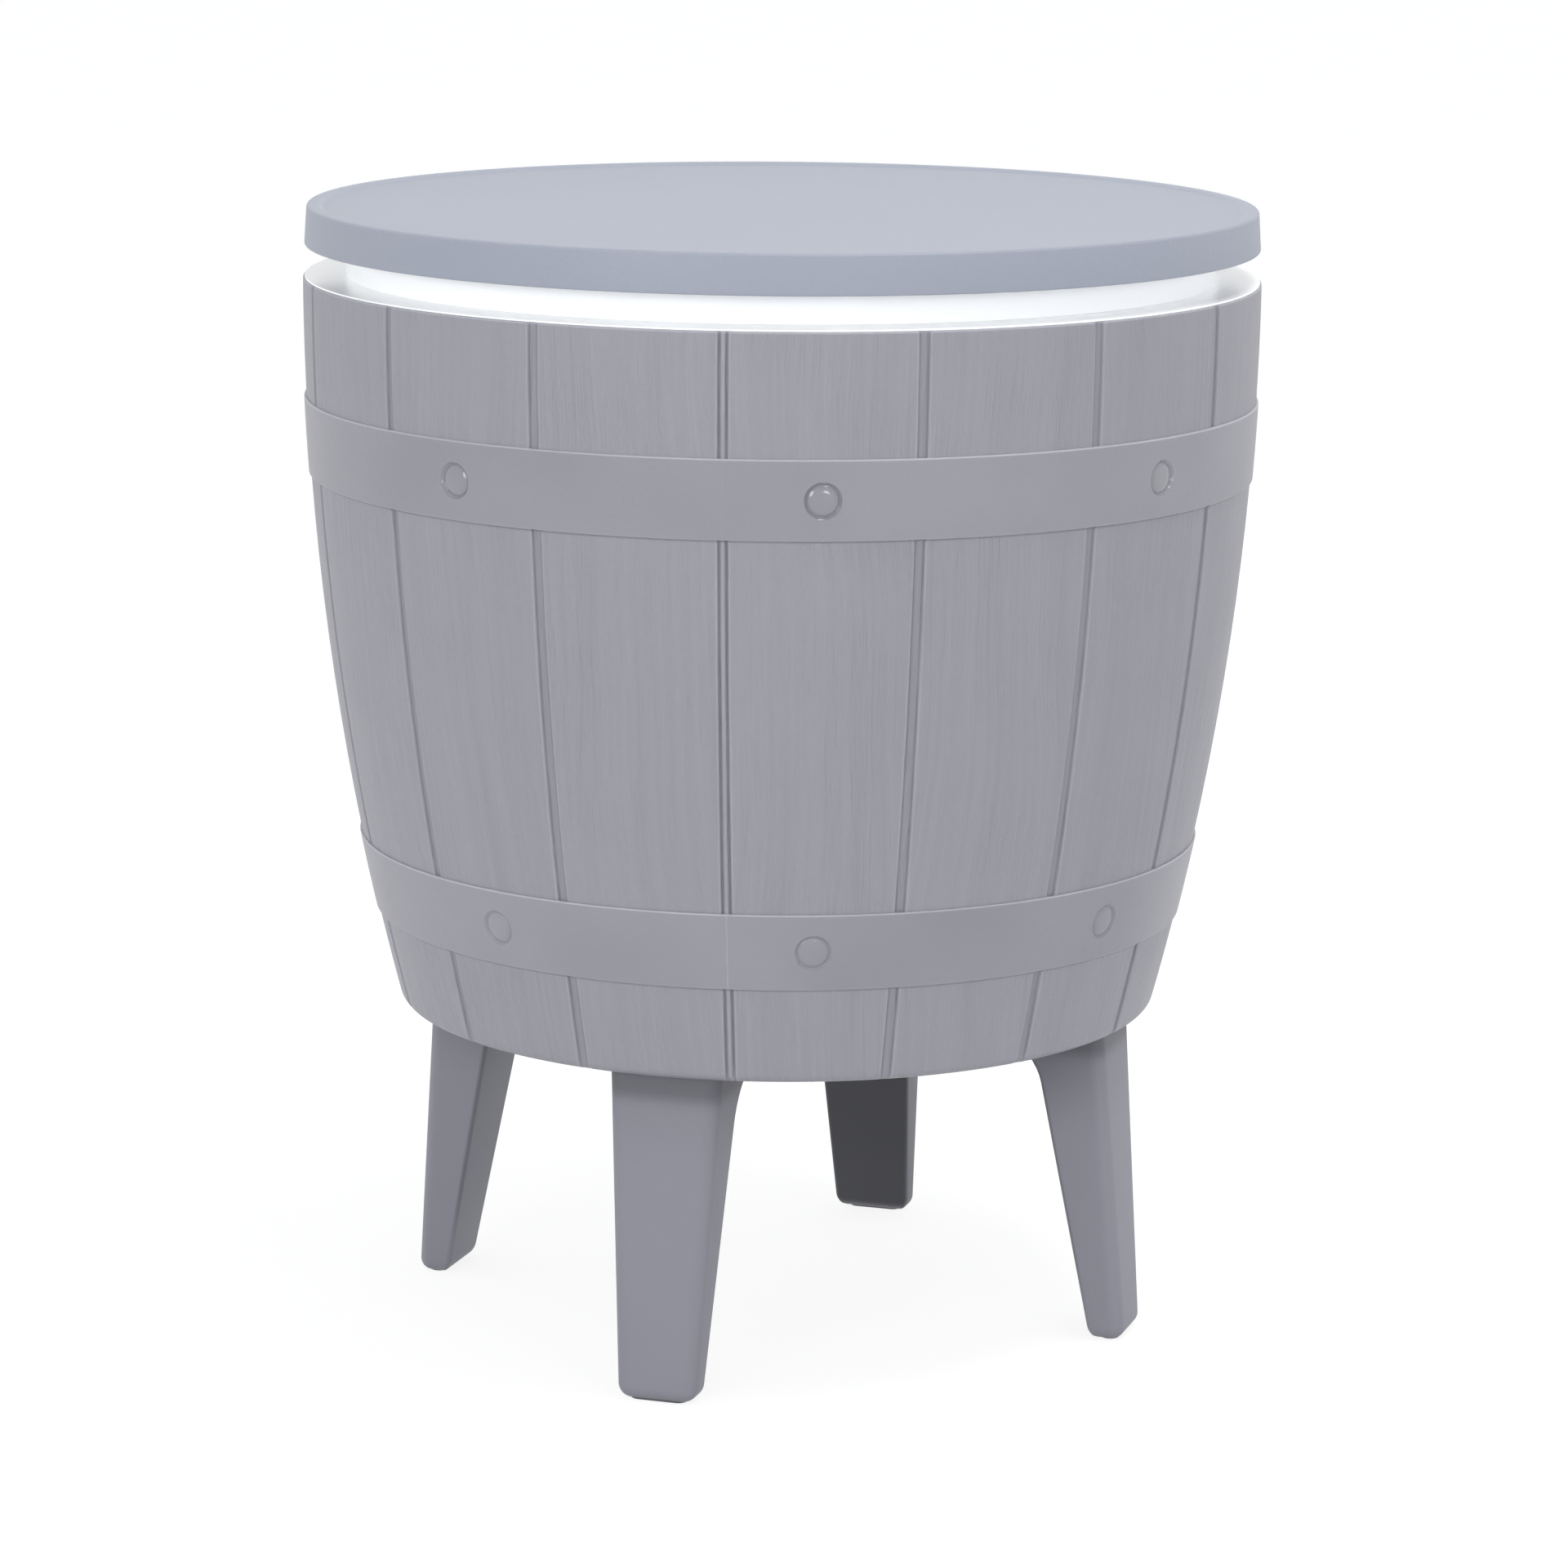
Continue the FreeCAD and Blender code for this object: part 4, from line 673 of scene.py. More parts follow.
def groove_profile(sizes, off_centre, height, seam):
    """Depth of a groove at a distance from its middle: a flat bottom, and sides that rise as a parabola.

    Just below the rim the sides flare, which rounds the corners of the staves. The two seam grooves have a
    low, slightly uneven rounded ridge along their middle.
    """
    flare = 1.4 * MM * np.exp((height - sizes.rim_height) / (1.5 * MM))
    rise = np.clip((off_centre - half_bottom(sizes, seam)) / (sizes.groove_side + flare), 0, 1)
    depth = sizes.groove_depth * (1 - rise) ** 2
    uneven = 1 + 0.22 * np.sin(height / (2.1 * MM)) * np.sin(height / (7.3 * MM))
    ridge = sizes.seam_ridge * uneven * (1 - smooth_step(0.8 * MM, 1.75 * MM, off_centre))
    return depth - np.where(seam, ridge, 0)


def groove_painted_light(sizes, off_centre, seam):
    """Painted light along a groove: painted highlights in narrow bells over the edge where its side meets the
    stave and on the ridge.

    The crease at the foot of the side has a bell below 0, which is its painted shade.
    """
    from_flat = off_centre - half_bottom(sizes, seam)
    edge = bell(from_flat - 0.9 * sizes.groove_side, 0.5 * MM)
    crease = bell(from_flat + 0.1 * MM, 0.4 * MM)
    ridge = np.where(seam, bell(off_centre, 0.8 * MM), 0)
    return 0.32 * edge + 0.2 * ridge - 0.3 * crease


def flash_height(sizes, off_centre, height):
    """Height of the parting line on a hoop: a narrow bell across, uneven along it and fainter higher up."""
    turn = 2 * np.pi * height
    uneven = 0.65 + 0.35 * np.sin(turn / (7 * MM)) * np.sin(turn / (17 * MM))
    fade = np.clip(1.5 - height / (320 * MM), 0.12, 1)
    return sizes.flash * fade * uneven * bell(off_centre, 0.3 * MM)


def barrel_grid(sizes):
    """The barrel's wall as rows of height and columns round it, with its masks and its grain map.

    Columns stay at fixed distances from each groove, however wide the barrel is there, and spread evenly
    over the stave between. A point's radius is the section's, plus the hoop's thickness times its share,
    less the groove's depth where no hoop covers it.
    """
    rows = barrel_rows(sizes)
    radius, level, hoop, grooved, row_painted_light = (column[:, None, None] for column in rows.T)
    near = np.array([0, 0.5, 0.85, 1.2, 1.5, 1.8, 2.1, 2.35, 2.6, 2.85, 3.1, 3.35, 3.65, 4.1, 4.6, 5.2]) * MM
    between = np.linspace(0, 1, STAVE_CELLS + 1)[1:-1]
    fixed = np.concatenate([near, near[-1] * (1 - 2 * between), -near[:0:-1]])
    share = np.concatenate([np.zeros_like(near), between, np.ones(len(near) - 1)])
    number = np.arange(STAVES)[None, :, None]
    pitch = 2 * np.pi / STAVES
    narrow = 30 * MM
    real = np.maximum(radius, narrow)
    across = fixed + share * pitch * real
    angle = (number + 0.5) * pitch + across / real
    off_centre = np.minimum(across, pitch * real - across)
    seam = (number + (share > 0.5)) % (STAVES // 2) == SEAM_GROOVE
    height = np.broadcast_to(level, angle.shape)
    grooved = grooved * np.minimum(1, radius / narrow) * (1 - hoop)
    depth = groove_profile(sizes, off_centre, height, seam) * grooved
    line = np.where(seam, flash_height(sizes, off_centre, height), 0) * (hoop > 0.99)
    points = polar(radius + hoop * sizes.hoop_proud - depth + line, angle, height)
    # Painted highlights on the flash line and on the groove edges, painted shade in the creases.
    painted_light = np.where(row_painted_light < 0, row_painted_light, np.maximum(row_painted_light, line / sizes.flash))
    painted_light = painted_light + groove_painted_light(sizes, off_centre, seam) * grooved * (painted_light == 0)

    def flat(values):
        return np.broadcast_to(values, angle.shape).reshape(len(rows), -1)

    masks = {
        "smooth_face": flat(hoop), "groove_depth": flat(depth / sizes.groove_depth),
        "worn_edge": flat(painted_light), "polish": flat(0.0),
    }
    grain = flat(across + number * STAVE_SHIFT), flat(level)
    return points.reshape(len(rows), -1, 3), masks, grain, rows


def rivet_window(rows, sizes, low):
    """Rows of the grid that bound the opening left round the rivets of one hoop."""
    off_middle = np.abs(rows[:, 1] - low - sizes.hoop / 2)
    centre = np.argmin(np.where(rows[:, 2] > 0.99, off_middle, 1))
    return centre - WINDOW_ROWS // 2, centre + WINDOW_ROWS // 2


def rivet_profile(sizes, moat):
    """Radius and height of a rivet, from the hoop's face down the slanted side of its sink to the low dome.

    The dome falls with the fourth power of the radius.
    """
    rim, crown = sizes.rivet, sizes.crown
    sink = [
        (rim + 1.6 * MM, 0), (rim + 1.3 * MM, 0.02 * MM), (rim + 1.1 * MM, -0.13 * moat),
        (rim + 0.8 * MM, -0.42 * moat), (rim + 0.45 * MM, -0.75 * moat), (rim + 0.15 * MM, -0.97 * moat),
        (rim, -moat),
    ]
    share = np.concatenate([np.linspace(0.985, 0.5, 9), [0.3, 0]])
    dome = np.stack([rim * share, crown - (crown + 0.97 * moat) * share**4], axis=-1)
    return np.concatenate([sink, dome])


def rivet_patch(grid, window, sizes, moat, gloss):
    """Fills one opening in the grid: rings run from its outline to a circle, then down the rivet's profile.

    A ring's point lies at its distance along the hoop's face, and its height is added to the radius there.
    The second result is the polish of each point, which is the head's gloss inside the sink.
    """
    first, last, left, right = window
    outline = np.concatenate([
        grid[first:last, right], grid[last, left + 1:right + 1][::-1],
        grid[first + 1:last + 1, left][::-1], grid[first, left:right],
    ])
    centre = grid[(first + last) // 2, left:right + 1].mean(axis=0)
    turn = math.atan2(centre[1], centre[0])
    face = stave_radius(sizes, centre[2]) + sizes.hoop_proud
    aside = np.angle(np.exp(1j * (np.arctan2(outline[:, 1], outline[:, 0]) - turn))) * face
    start = aside + 1j * (outline[:, 2] - centre[2])
    radius, lift = rivet_profile(sizes, moat).T
    circles = radius[:, None] * start / np.abs(start)
    flat = np.concatenate([[start, (start + circles[0]) / 2], circles])
    lift = np.concatenate([[0, 0], lift])[:, None]
    height = centre[2] + flat.imag
    reach = stave_radius(sizes, height) + sizes.hoop_proud + lift
    polish = np.where(np.arange(len(flat)) > 2, gloss, 0)[:, None]
    return shell(polar(reach, turn + flat.real / face, height)), np.broadcast_to(polish, flat.shape).ravel()


def build_barrel(sizes, material):
    """The barrel: its wall's grid with its masks and grain map, and a patch for each rivet head."""
    grid, masks, grain, rows = barrel_grid(sizes)
    count = grid.shape[1]
    faces = grid_faces(*grid.shape[:2]).reshape(-1, count, 4)
    keep = np.ones(faces.shape[:2], bool)
    per_stave = count // STAVES
    middle = (per_stave - STAVE_CELLS + 1) // 2 + (STAVE_CELLS - WINDOW_CELLS) // 2
    patches, polish = [], []
    for low, moat, gloss in (
        (sizes.upper_hoop, sizes.upper_moat, 1.0), (sizes.lower_hoop, sizes.lower_moat, 0.3)
    ):
        first, last = rivet_window(rows, sizes, low)
        for left in range(middle, count, count // RIVETS):
            right = left + WINDOW_CELLS
            keep[first:last, left:right] = False
            patch, shine = rivet_patch(grid, (first, last, left, right), sizes, moat, gloss)
            patches.append(patch)
            polish.append(shine)
    part = joined([(grid.reshape(-1, 3), faces[keep])] + patches)
    mesh = new_mesh("barrel", part)
    extra = len(part[0]) - len(rows) * count
    rest = {"smooth_face": np.ones(extra), "polish": np.concatenate(polish)}
    for name, mask in masks.items():
        write_values(mesh, name, np.concatenate([mask.ravel(), rest.get(name, np.zeros(extra))]))
    write_grain_map(mesh, part[1], *grain, extra)
    return finished(mesh, material, 38)


def write_grain_map(mesh, faces, grain_across, grain_along, extra):
    """UV map in metres: across each stave from its left groove, and up. A face never spans two staves."""
    columns = grain_across.shape[1]
    per_stave = columns // STAVES
    across = np.concatenate([grain_across.ravel(), np.zeros(extra)])[faces]
    along = np.concatenate([grain_along.ravel(), np.zeros(extra)])[faces]
    last = (faces[:, 0] % columns % per_stave == per_stave - 1) & (faces[:, 0] < grain_across.size)
    across[last, 1] = across[last, 0] + 0.4 * MM
    across[last, 2] = across[last, 3] + 0.4 * MM
    layer = mesh.uv_layers.new(name="grain")
    layer.data.foreach_set("uv", np.stack([across, along], axis=-1).ravel().astype(np.float32))


# The other pieces


def table_top_profile(sizes):
    """Section of the table top: skirt, rounded rim, slope, flat surface and the underside of the plate."""
    top_radius = sizes.radius - sizes.draft
    table = sizes.rim_height - sizes.rim_step
    plate = table - sizes.wall
    inner = top_radius - sizes.rim
    corners = [
        (0, table), (inner - sizes.slope, table), (inner, sizes.rim_height), (top_radius, sizes.rim_height),
        (sizes.radius, sizes.skirt_foot), (sizes.radius - sizes.wall, sizes.skirt_foot),
        (top_radius - sizes.wall, plate), (0, plate),
    ]
    radii = [0, 2 * MM, 2 * MM, sizes.edge_round, 0.7 * MM, 0.7 * MM, 2 * MM, 0]
    return rounded(corners, radii, 7)


def underside_profile(sizes, hole):
    """Section of the white underside: a shallow pan with a hole for the lift tube."""
    low, high = foot_of("lid_underside"), top_of("lid_underside")
    inner = sizes.band_radius - sizes.band_wall
    floor = low + sizes.band_wall
    corners = [
        (hole, low), (sizes.band_radius, low), (sizes.band_radius, high),
        (inner, high), (inner, floor), (hole, floor),
    ]
    return rounded(corners, [0.8 * MM, sizes.band_round, 0.4 * MM, 0.4 * MM, 2 * MM, 0.8 * MM], 6)


def bucket_profile(sizes):
    """Section of the ice bucket: flange with a thin lip, drafted wall, rounded floor and centre column."""
    column_foot = sizes.column + sizes.column_draft
    column_top = sizes.ledge - sizes.column_drop
    bore = sizes.column - sizes.wall
    below = sizes.basin - sizes.wall
    under = sizes.ledge - sizes.flange_thick
    rim = top_of("barrel_shell") + 0.03 * MM
    corners = [
        (sizes.flange, under), (sizes.flange, rim), (sizes.flange_lip, rim),
        (sizes.flange_lip, sizes.ledge), (sizes.mouth, sizes.ledge),
        (sizes.floor_radius, sizes.basin), (column_foot, sizes.basin), (sizes.column, column_top),
        (bore, column_top), (bore, below), (sizes.floor_radius + sizes.wall, below),
        (sizes.mouth + sizes.wall, under),
    ]
    radii = [
        0.4 * MM, 0, 0.1 * MM, 0.4 * MM, 2.5 * MM, sizes.basin_round, 6 * MM, 0.8 * MM, 0.4 * MM, 1 * MM,
        sizes.basin_round + sizes.wall, 3 * MM,
    ]
    return rounded(corners, radii, 9)


def leg_faces(sizes, heights):
    """Outer face, inner face and half width of a leg along +X at some heights.

    All are straight lines of height, and near the top the inner face sweeps inwards along a quarter of a
    circle.
    """
    share = (heights - sizes.foot_height) / (sizes.top_height - sizes.foot_height)
    outer = sizes.foot_reach + share * (sizes.top_reach - sizes.foot_reach)
    depth = sizes.foot_depth + share * (sizes.top_depth - sizes.foot_depth)
    half = (sizes.foot_width + share * (sizes.top_width - sizes.foot_width)) / 2
    above = np.clip((heights - sizes.top_height + sizes.flange + sizes.flare) / sizes.flare, 0, 1)
    sweep = sizes.flare * (1 - np.sqrt(1 - above**2))
    return outer, outer - depth - sweep, half


def leg_part(sizes):
    """One leg along +X: rounded sections carried from the foot to the barrel, and the mounting flange.

    A section's corners are quarter ellipses. Round the foot every face is drawn in along a quarter of an
    ellipse, each by its own amount.
    """
    bend = np.linspace(0, np.pi / 2, 12)
    flange_low = sizes.top_height - sizes.flange
    foot_rows = sizes.sole + sizes.foot_round * (1 - np.cos(bend))
    flare_rows = flange_low - sizes.flare * (1 - np.sin(bend))
    between = np.linspace(foot_rows[-1], flare_rows[0], 18)[1:-1]
    top_rows = [sizes.top_height - 0.3 * MM, sizes.top_height]
    heights = np.concatenate([foot_rows, between, flare_rows, top_rows])[:, None]
    outer, inner, half = leg_faces(sizes, heights)
    low = np.clip((heights - sizes.sole) / sizes.foot_round, 0, 1)
    drawn_in = 1 - np.sqrt(1 - (1 - low) ** 2)
    outline = []
    for quarter, (side_x, side_y) in enumerate(((1, 1), (-1, 1), (-1, -1), (1, -1))):
        face, radius, most = inner, sizes.inner_round, sizes.heel
        if side_x > 0:
            face, radius, most = outer, sizes.long_round, sizes.toe
        in_x, in_y = drawn_in * most, drawn_in * sizes.foot_side
        small_x = np.maximum(radius - in_x, 0.5 * MM)
        small_y = np.maximum(radius - in_y, 0.5 * MM)
        turn = quarter * np.pi / 2 + np.linspace(0, np.pi / 2, 9)
        x = face - side_x * (small_x + in_x) + small_x * np.cos(turn)
        y = side_y * (half - small_y - in_y) + small_y * np.sin(turn)
        outline.append(np.stack(np.broadcast_arrays(x, y, heights), axis=-1))
    body = shell(capped(np.concatenate(outline, axis=1)))
    width = sizes.top_width / 2
    start = (sizes.flange_end, -width, flange_low)
    return joined([body, block_part(start, (inner[-1, 0] + 2 * MM, width, sizes.top_height))])


def leg_shade(sizes, points, inner_shade):
    """Painted shade on a leg along +X at its points, as a factor from 0 to 1.

    The inner face is darker by its own painted shade and the side faces by half of that. A soft line of
    painted shade follows the inner long edges above the foot. Painted shade darkens the leg towards the
    barrel, mostly at its inner side, and a narrow painted shadow lies right under the barrel's edge.
    """
    east, north, height = points.T
    outer, inner, half = leg_faces(sizes, height)
    from_inner = east - inner
    inner_face = 1 - smooth_step(0.1 * MM, sizes.inner_round, from_inner)
    line = bell(from_inner - 1.0 * MM, 0.9 * MM) * smooth_step(15 * MM, 50 * MM, height)
    under = smooth_step(sizes.top_height - 60 * MM, sizes.top_height, height)
    inner_side = 1 - 0.7 * np.clip(from_inner / (outer - inner), 0, 1)
    side_face = smooth_step(half - 1.5 * MM, half, np.abs(north)) * (1 - inner_face)
    low_edge = foot_of("barrel_shell")
    contact = smooth_step(low_edge - 7 * MM, low_edge + 3 * MM, height)
    faces = (1 - inner_shade * inner_face) * (1 - 0.5 * inner_shade * side_face)
    return faces * (1 - 0.34 * line) * (1 - 0.4 * under * inner_side) * (1 - 0.45 * contact)


def stadium_part(length_y, width_x, low, high, edge):
    """An oblong pad about the origin: a stadium outline, drawn in round its lower edge by an arc."""
    bend = np.linspace(0, np.pi / 2, 6)
    inset = np.concatenate([edge * (1 - np.sin(bend)), [0]])[:, None]
    heights = np.concatenate([low + edge * (1 - np.cos(bend)), [high]])[:, None]
    angle = full_turn(48)
    grid = polar(width_x / 2 - inset, angle, heights)
    grid[..., 1] += (length_y - width_x) / 2 * np.sign(np.sin(angle))
    return shell(capped(grid))


def screw_part(radius, height, shank, length_up):
    """A pan-head screw that points up, its head at the origin: the crown has a cross recess.

    The head's lower face is a shallow dome, less a dent wherever a point lies within one of two bars.
    """
    angle = full_turn(48)
    share = np.concatenate([np.linspace(0, 0.62, 9), np.linspace(0.7, 1, 5)])[:, None]
    head = polar(radius * share, angle, height * 0.28 * share**4)
    near, far = np.sort(np.abs(head[..., :2])).transpose(2, 0, 1)
    in_bar = (near < 0.55 * MM) & (far < 0.6 * radius)
    head[..., 2] += np.where(in_bar, 0.55 * height * (1 - 0.5 * share), 0)
    reach = np.array([radius, shank, shank, 0])[:, None]
    level = np.array([height, height, length_up, length_up])[:, None]
    return shell(np.concatenate([head, polar(reach, angle, level)]))


# Operators


class COOLER_OT_barrel(bpy.types.Operator):
    """Makes the barrel with its staves, hoops and rivet heads"""

    bl_idname = "cooler.add_barrel"
    bl_label = "Barrel"

    def execute(self, context):
        sizes = context.scene.cooler_barrel
        barrel = build_barrel(sizes, stave_plastic(tuple(sizes.colour)))
        seat(barrel, "base", "barrel_grey", "barrel_shell")
        return {"FINISHED"}


class COOLER_OT_table_top(bpy.types.Operator):
    """Makes the grey table top with its ribs and screw bosses"""

    bl_idname = "cooler.add_table_top"
    bl_label = "Table top"

    def execute(self, context):
        sizes = context.scene.cooler_lid
        plate = sizes.rim_height - sizes.rim_step - sizes.wall
        sunk = plate + 1 * MM
        start, end, half_width, rib_height = 61 * MM, 220 * MM, 1.1 * MM, 12 * MM
        rib = ((start, -half_width, plate - rib_height), (end, half_width, sunk))
        panel, boss = foot_of("lid_underside") + sizes.band_wall, 6.5 * MM
        turns = full_turn(BOSSES)
        parts = [turned(table_top_profile(sizes), ROUND_STEPS)]
        parts += [block_part(*rib, turn + math.pi / BOSSES) for turn in turns]
        for turn in turns:
            place = BOSS_CIRCLE * math.cos(turn), BOSS_CIRCLE * math.sin(turn)
            parts.append(post_part(boss, panel, sunk, *place))
        material = moulded_plastic(
            "lid_plastic", tuple(sizes.colour), 0.46, 520.0, 0.34 * MM, 0.03,
            waviness=0.25, shade="shade", gloss=0.42,
        )
        top = fit("table_top_cast", joined(parts), material, "lid", "lid_grey", "table_top")
        # The skirt gets painted shade, so it reads darker than the top.
        write_values(top.data, "shade", self.fade(points_of(top.data), sizes))
        return {"FINISHED"}

    def fade(self, points, sizes):
        """Painted shade: the skirt is darker than the flat top, from the rounded edge outwards."""
        edge = sizes.radius - sizes.draft
        from_centre = np.hypot(points[:, 0], points[:, 1])
        return 1 - 0.11 * smooth_step(edge - 1.8 * MM, edge - 0.2 * MM, from_centre)


class COOLER_OT_white_parts(bpy.types.Operator):
    """Makes the white underside of the lid and the white ice bucket"""

    bl_idname = "cooler.add_white_parts"
    bl_label = "White parts"

    def execute(self, context):
        lid = context.scene.cooler_lid
        bucket = context.scene.cooler_bucket
        looks = {"roughness": 0.2, "pebbles": 700.0, "depth": 0.03 * MM, "spread": 0.01}
        white = moulded_plastic("lid_white", tuple(lid.white), **looks)
        tube_hole = 25.4 * MM
        pan = turned(underside_profile(lid, tube_hole), ROUND_STEPS, True)
        fit("white_pan", pan, white, "lid", "white_plastic", "lid_underside")
        # The bucket's white glows a little, a painted light that keeps the shaded ledge under the lid white.
        white = moulded_plastic("bucket_white", tuple(bucket.white), glow=0.09, **looks)
        liner = turned(bucket_profile(bucket), ROUND_STEPS, True)
        fit("bucket_liner", liner, white, "base", "white_plastic", "ice_bucket")
        return {"FINISHED"}


class COOLER_OT_legs(bpy.types.Operator):
    """Makes the four splayed legs and their foot glides"""

    bl_idname = "cooler.add_legs"
    bl_label = "Legs"

    def execute(self, context):
        sizes = context.scene.cooler_legs
        grey = moulded_plastic(
            "leg_plastic", tuple(sizes.colour), 0.52, 900.0, 0.10 * MM, 0.04, waviness=0.2, shade="shade"
        )
        rubber = moulded_plastic("glide_rubber", tint(88, 87, 91), 0.7, 1500.0, 0.05 * MM, 0.05)
        centre = Matrix.Translation((sizes.foot_reach - sizes.foot_depth / 2, 0, 0))
        pad_length, pad_width, pad_edge = 30 * MM, 10 * MM, 0.8 * MM
        stem, stem_foot = 3 * MM, 1 * MM
        for side, angle in LEG_ANGLES.items():
            turn = Matrix.Rotation(math.radians(angle), 4, "Z")
            cast = moved(leg_part(sizes), turn)
            leg = fit(f"leg_{side}_cast", cast, grey, "base", "leg_grey", f"leg_{side}").data
            along, _ = moved((points_of(leg), None), turn.inverted())
            # The rear right leg's inner face gets a deep painted shade, the other legs a light one.
            inner_shade = 0.8 if side == "rear_right" else 0.12
            write_values(leg, "shade", leg_shade(sizes, along, inner_shade))
            glide = f"foot_glide_{side}"
            pad = stadium_part(pad_length, pad_width, 0, sizes.foot_height, pad_edge)
            pad = moved(joined([pad, post_part(stem, stem_foot, top_of(glide))]), turn @ centre)
            fit(f"glide_{side}_pad", pad, rubber, "base", "glide_rubber", glide)
        return {"FINISHED"}


class COOLER_OT_screws(bpy.types.Operator):
    """Makes the pan-head screws that show from below"""

    bl_idname = "cooler.add_screws"
    bl_label = "Screws"

    def execute(self, context):
        zinc = drawn_metal("zinc_plate", tint(196, 196, 192), 0.34, 4000.0)
        head, rise, shank = 4.5 * MM, 2.2 * MM, 2.4 * MM
        reach, aside, guide_circle = 118 * MM, 18 * MM, 45 * MM
        pairs = [Vector((reach, hand * aside, 0)) for hand in (-1, 1)]
        legs = [self.turn(angle) @ spot for angle in LEG_ANGLES.values() for spot in pairs]
        guide = [self.turn(90 * number) @ Vector((guide_circle, 0, 0)) for number in range(4)]
        lid = [self.turn(45 * number) @ Vector((BOSS_CIRCLE, 0, 0)) for number in range(BOSSES)]
        for node, body, places in (
            ("leg_screws", "base", legs), ("guide_screws", "base", guide), ("lid_screws", "lid", lid)
        ):
            low = foot_of(node)
            screw = screw_part(head, rise, shank, top_of(node) - low)
            parts = []
            for number, spot in enumerate(places):
                place = Matrix.Translation((spot.x, spot.y, low))
                parts.append(moved(screw, place @ Matrix.Rotation(0.7 * number, 4, "Z")))
            fit(f"{node}_set", joined(parts), zinc, body, "zinc_steel", node)
        return {"FINISHED"}

    def turn(self, angle):
        """A turn about the centre line by some degrees."""
        return Matrix.Rotation(math.radians(angle), 3, "Z")


class COOLER_OT_post(bpy.types.Operator):
    """Makes the lift tube, the top collar and its wiper ring"""

    bl_idname = "cooler.add_post"
    bl_label = "Centre post"

    def execute(self, context):
        metal = drawn_metal("tube_anodised", tint(214, 216, 219), 0.36, 900.0)
        tube = turned(ring_section("lift_tube", 23 * MM, 25 * MM, [0.3 * MM] * 4, 4), 96, True)
        fit("lift_tube_drawn", tube, metal, "lid", "tube_aluminium", "lift_tube")
        grey = moulded_plastic("collar_plastic", tint(188, 189, 192), 0.45, 900.0, 0.05 * MM, 0.02)
        collar = turned(self.collar_profile(), 128, True)
        fit("top_collar_cast", collar, grey, "base", "inner_plastic", "top_collar")
        wiper = turned(ring_section("wiper_ring", 25.4 * MM, 28.35 * MM, [0.6 * MM] * 4, 5), 96, True)
        fit("wiper_ring_lip", wiper, black_rubber("wiper_rubber"), "base", "black_rubber", "wiper_ring")
        return {"FINISHED"}

    def collar_profile(self):
        """Section of the collar: a sleeve in the column, a flange on it and a pocket for the wiper."""
        low, high = foot_of("top_collar"), top_of("top_collar")
        bore, sleeve, flange = 25.08 * MM, 28.85 * MM, 43 * MM
        rest, pocket, pocket_radius = high - 4 * MM, high - 2.4 * MM, 28.5 * MM
        corners = [
            (bore, low), (sleeve, low), (sleeve, rest), (flange, rest), (flange, high - 2 * MM),
            (flange - 4 * MM, high), (pocket_radius, high), (pocket_radius, pocket), (bore, pocket),
        ]
        radii = [0.3 * MM, 0.5 * MM, 0, 0.3 * MM, 0.6 * MM, 1.5 * MM, 0.3 * MM, 0, 0.2 * MM]
        return rounded(corners, radii, 5)


class COOLER_OT_drain(bpy.types.Operator):
    """Makes the drain pipe, its seal, nut and pull-out plug"""

    bl_idname = "cooler.add_drain"
    bl_label = "Drain"

    def execute(self, context):
        white = moulded_plastic("drain_white", tint(228, 231, 234), 0.34, 900.0, 0.04 * MM, 0.01)
        rubber = black_rubber("drain_rubber")
        seal = ring_section("drain_seal", 14.15 * MM, 19.6 * MM, [0.4 * MM] * 4, 4)
        for name, part, material, body, slot, node in (
            ("drain_pipe_cast", self.pipe(), white, "base", "drain_plastic", "drain_pipe"),
            ("drain_seal_ring", turned(seal, 72, True), rubber, "base", "black_rubber", "drain_seal"),
            ("drain_nut_hex", self.nut(), white, "base", "drain_plastic", "drain_nut"),
            ("drain_plug_stopper", self.plug(), rubber, "drain_stopper", "black_rubber", "drain_plug"),
        ):
            fit(name, moved(part, DRAIN_PLACE), material, body, slot, node)
        return {"FINISHED"}

    def pipe(self):
        """A tube with a flange at its upper end."""
        low, high = foot_of("drain_pipe"), top_of("drain_pipe")
        bore, outside, flange = 11.5 * MM, 14 * MM, 20 * MM
        plate = high - 2.5 * MM
        corners = [
            (bore, low), (outside, low), (outside, plate), (flange, plate), (flange, high), (bore, high)
        ]
        return turned(rounded(corners, [0.3 * MM, 0.5 * MM, 0, 0.4 * MM, 1.2 * MM, 1.2 * MM], 6), 72, True)

    def nut(self):
        """A bevelled ring whose outside follows a hexagon: its radius is the flat's over a cosine."""
        radii = [0.3 * MM, 0.8 * MM, 0.5 * MM, 0.3 * MM]
        points, faces = turned(ring_section("drain_nut", 14.15 * MM, 21 * MM, radii, 5), 144, True)
        angle = np.arctan2(points[:, 1], points[:, 0])
        reach = np.hypot(points[:, 0], points[:, 1])
        flat = math.cos(math.pi / 6) / np.cos((angle % (math.pi / 3)) - math.pi / 6)
        scale = 1 + smooth_step(14.5 * MM, 19 * MM, reach) * (flat - 1)
        return points * np.stack([scale, scale, np.ones_like(scale)], axis=-1), faces

    def plug(self):
        """A turned shaft and head, with a flat finger tab below."""
        low, high = foot_of("drain_plug"), top_of("drain_plug")
        head = low + 12 * MM
        neck = head + 4 * MM
        shaft, brim = 11.42 * MM, 14 * MM
        corners = [(0, head), (brim, head), (brim, neck), (shaft, neck), (shaft, high), (0, high)]
        body = turned(rounded(corners, [0, 1.5 * MM, 0.5 * MM, 0, 1.5 * MM, 0], 5), 72)
        tab = stadium_part(23 * MM, 4 * MM, low, head + 0.5 * MM, 1.5 * MM)
        return joined([body, moved(tab, Matrix.Rotation(math.pi / 2, 4, "Z"))])


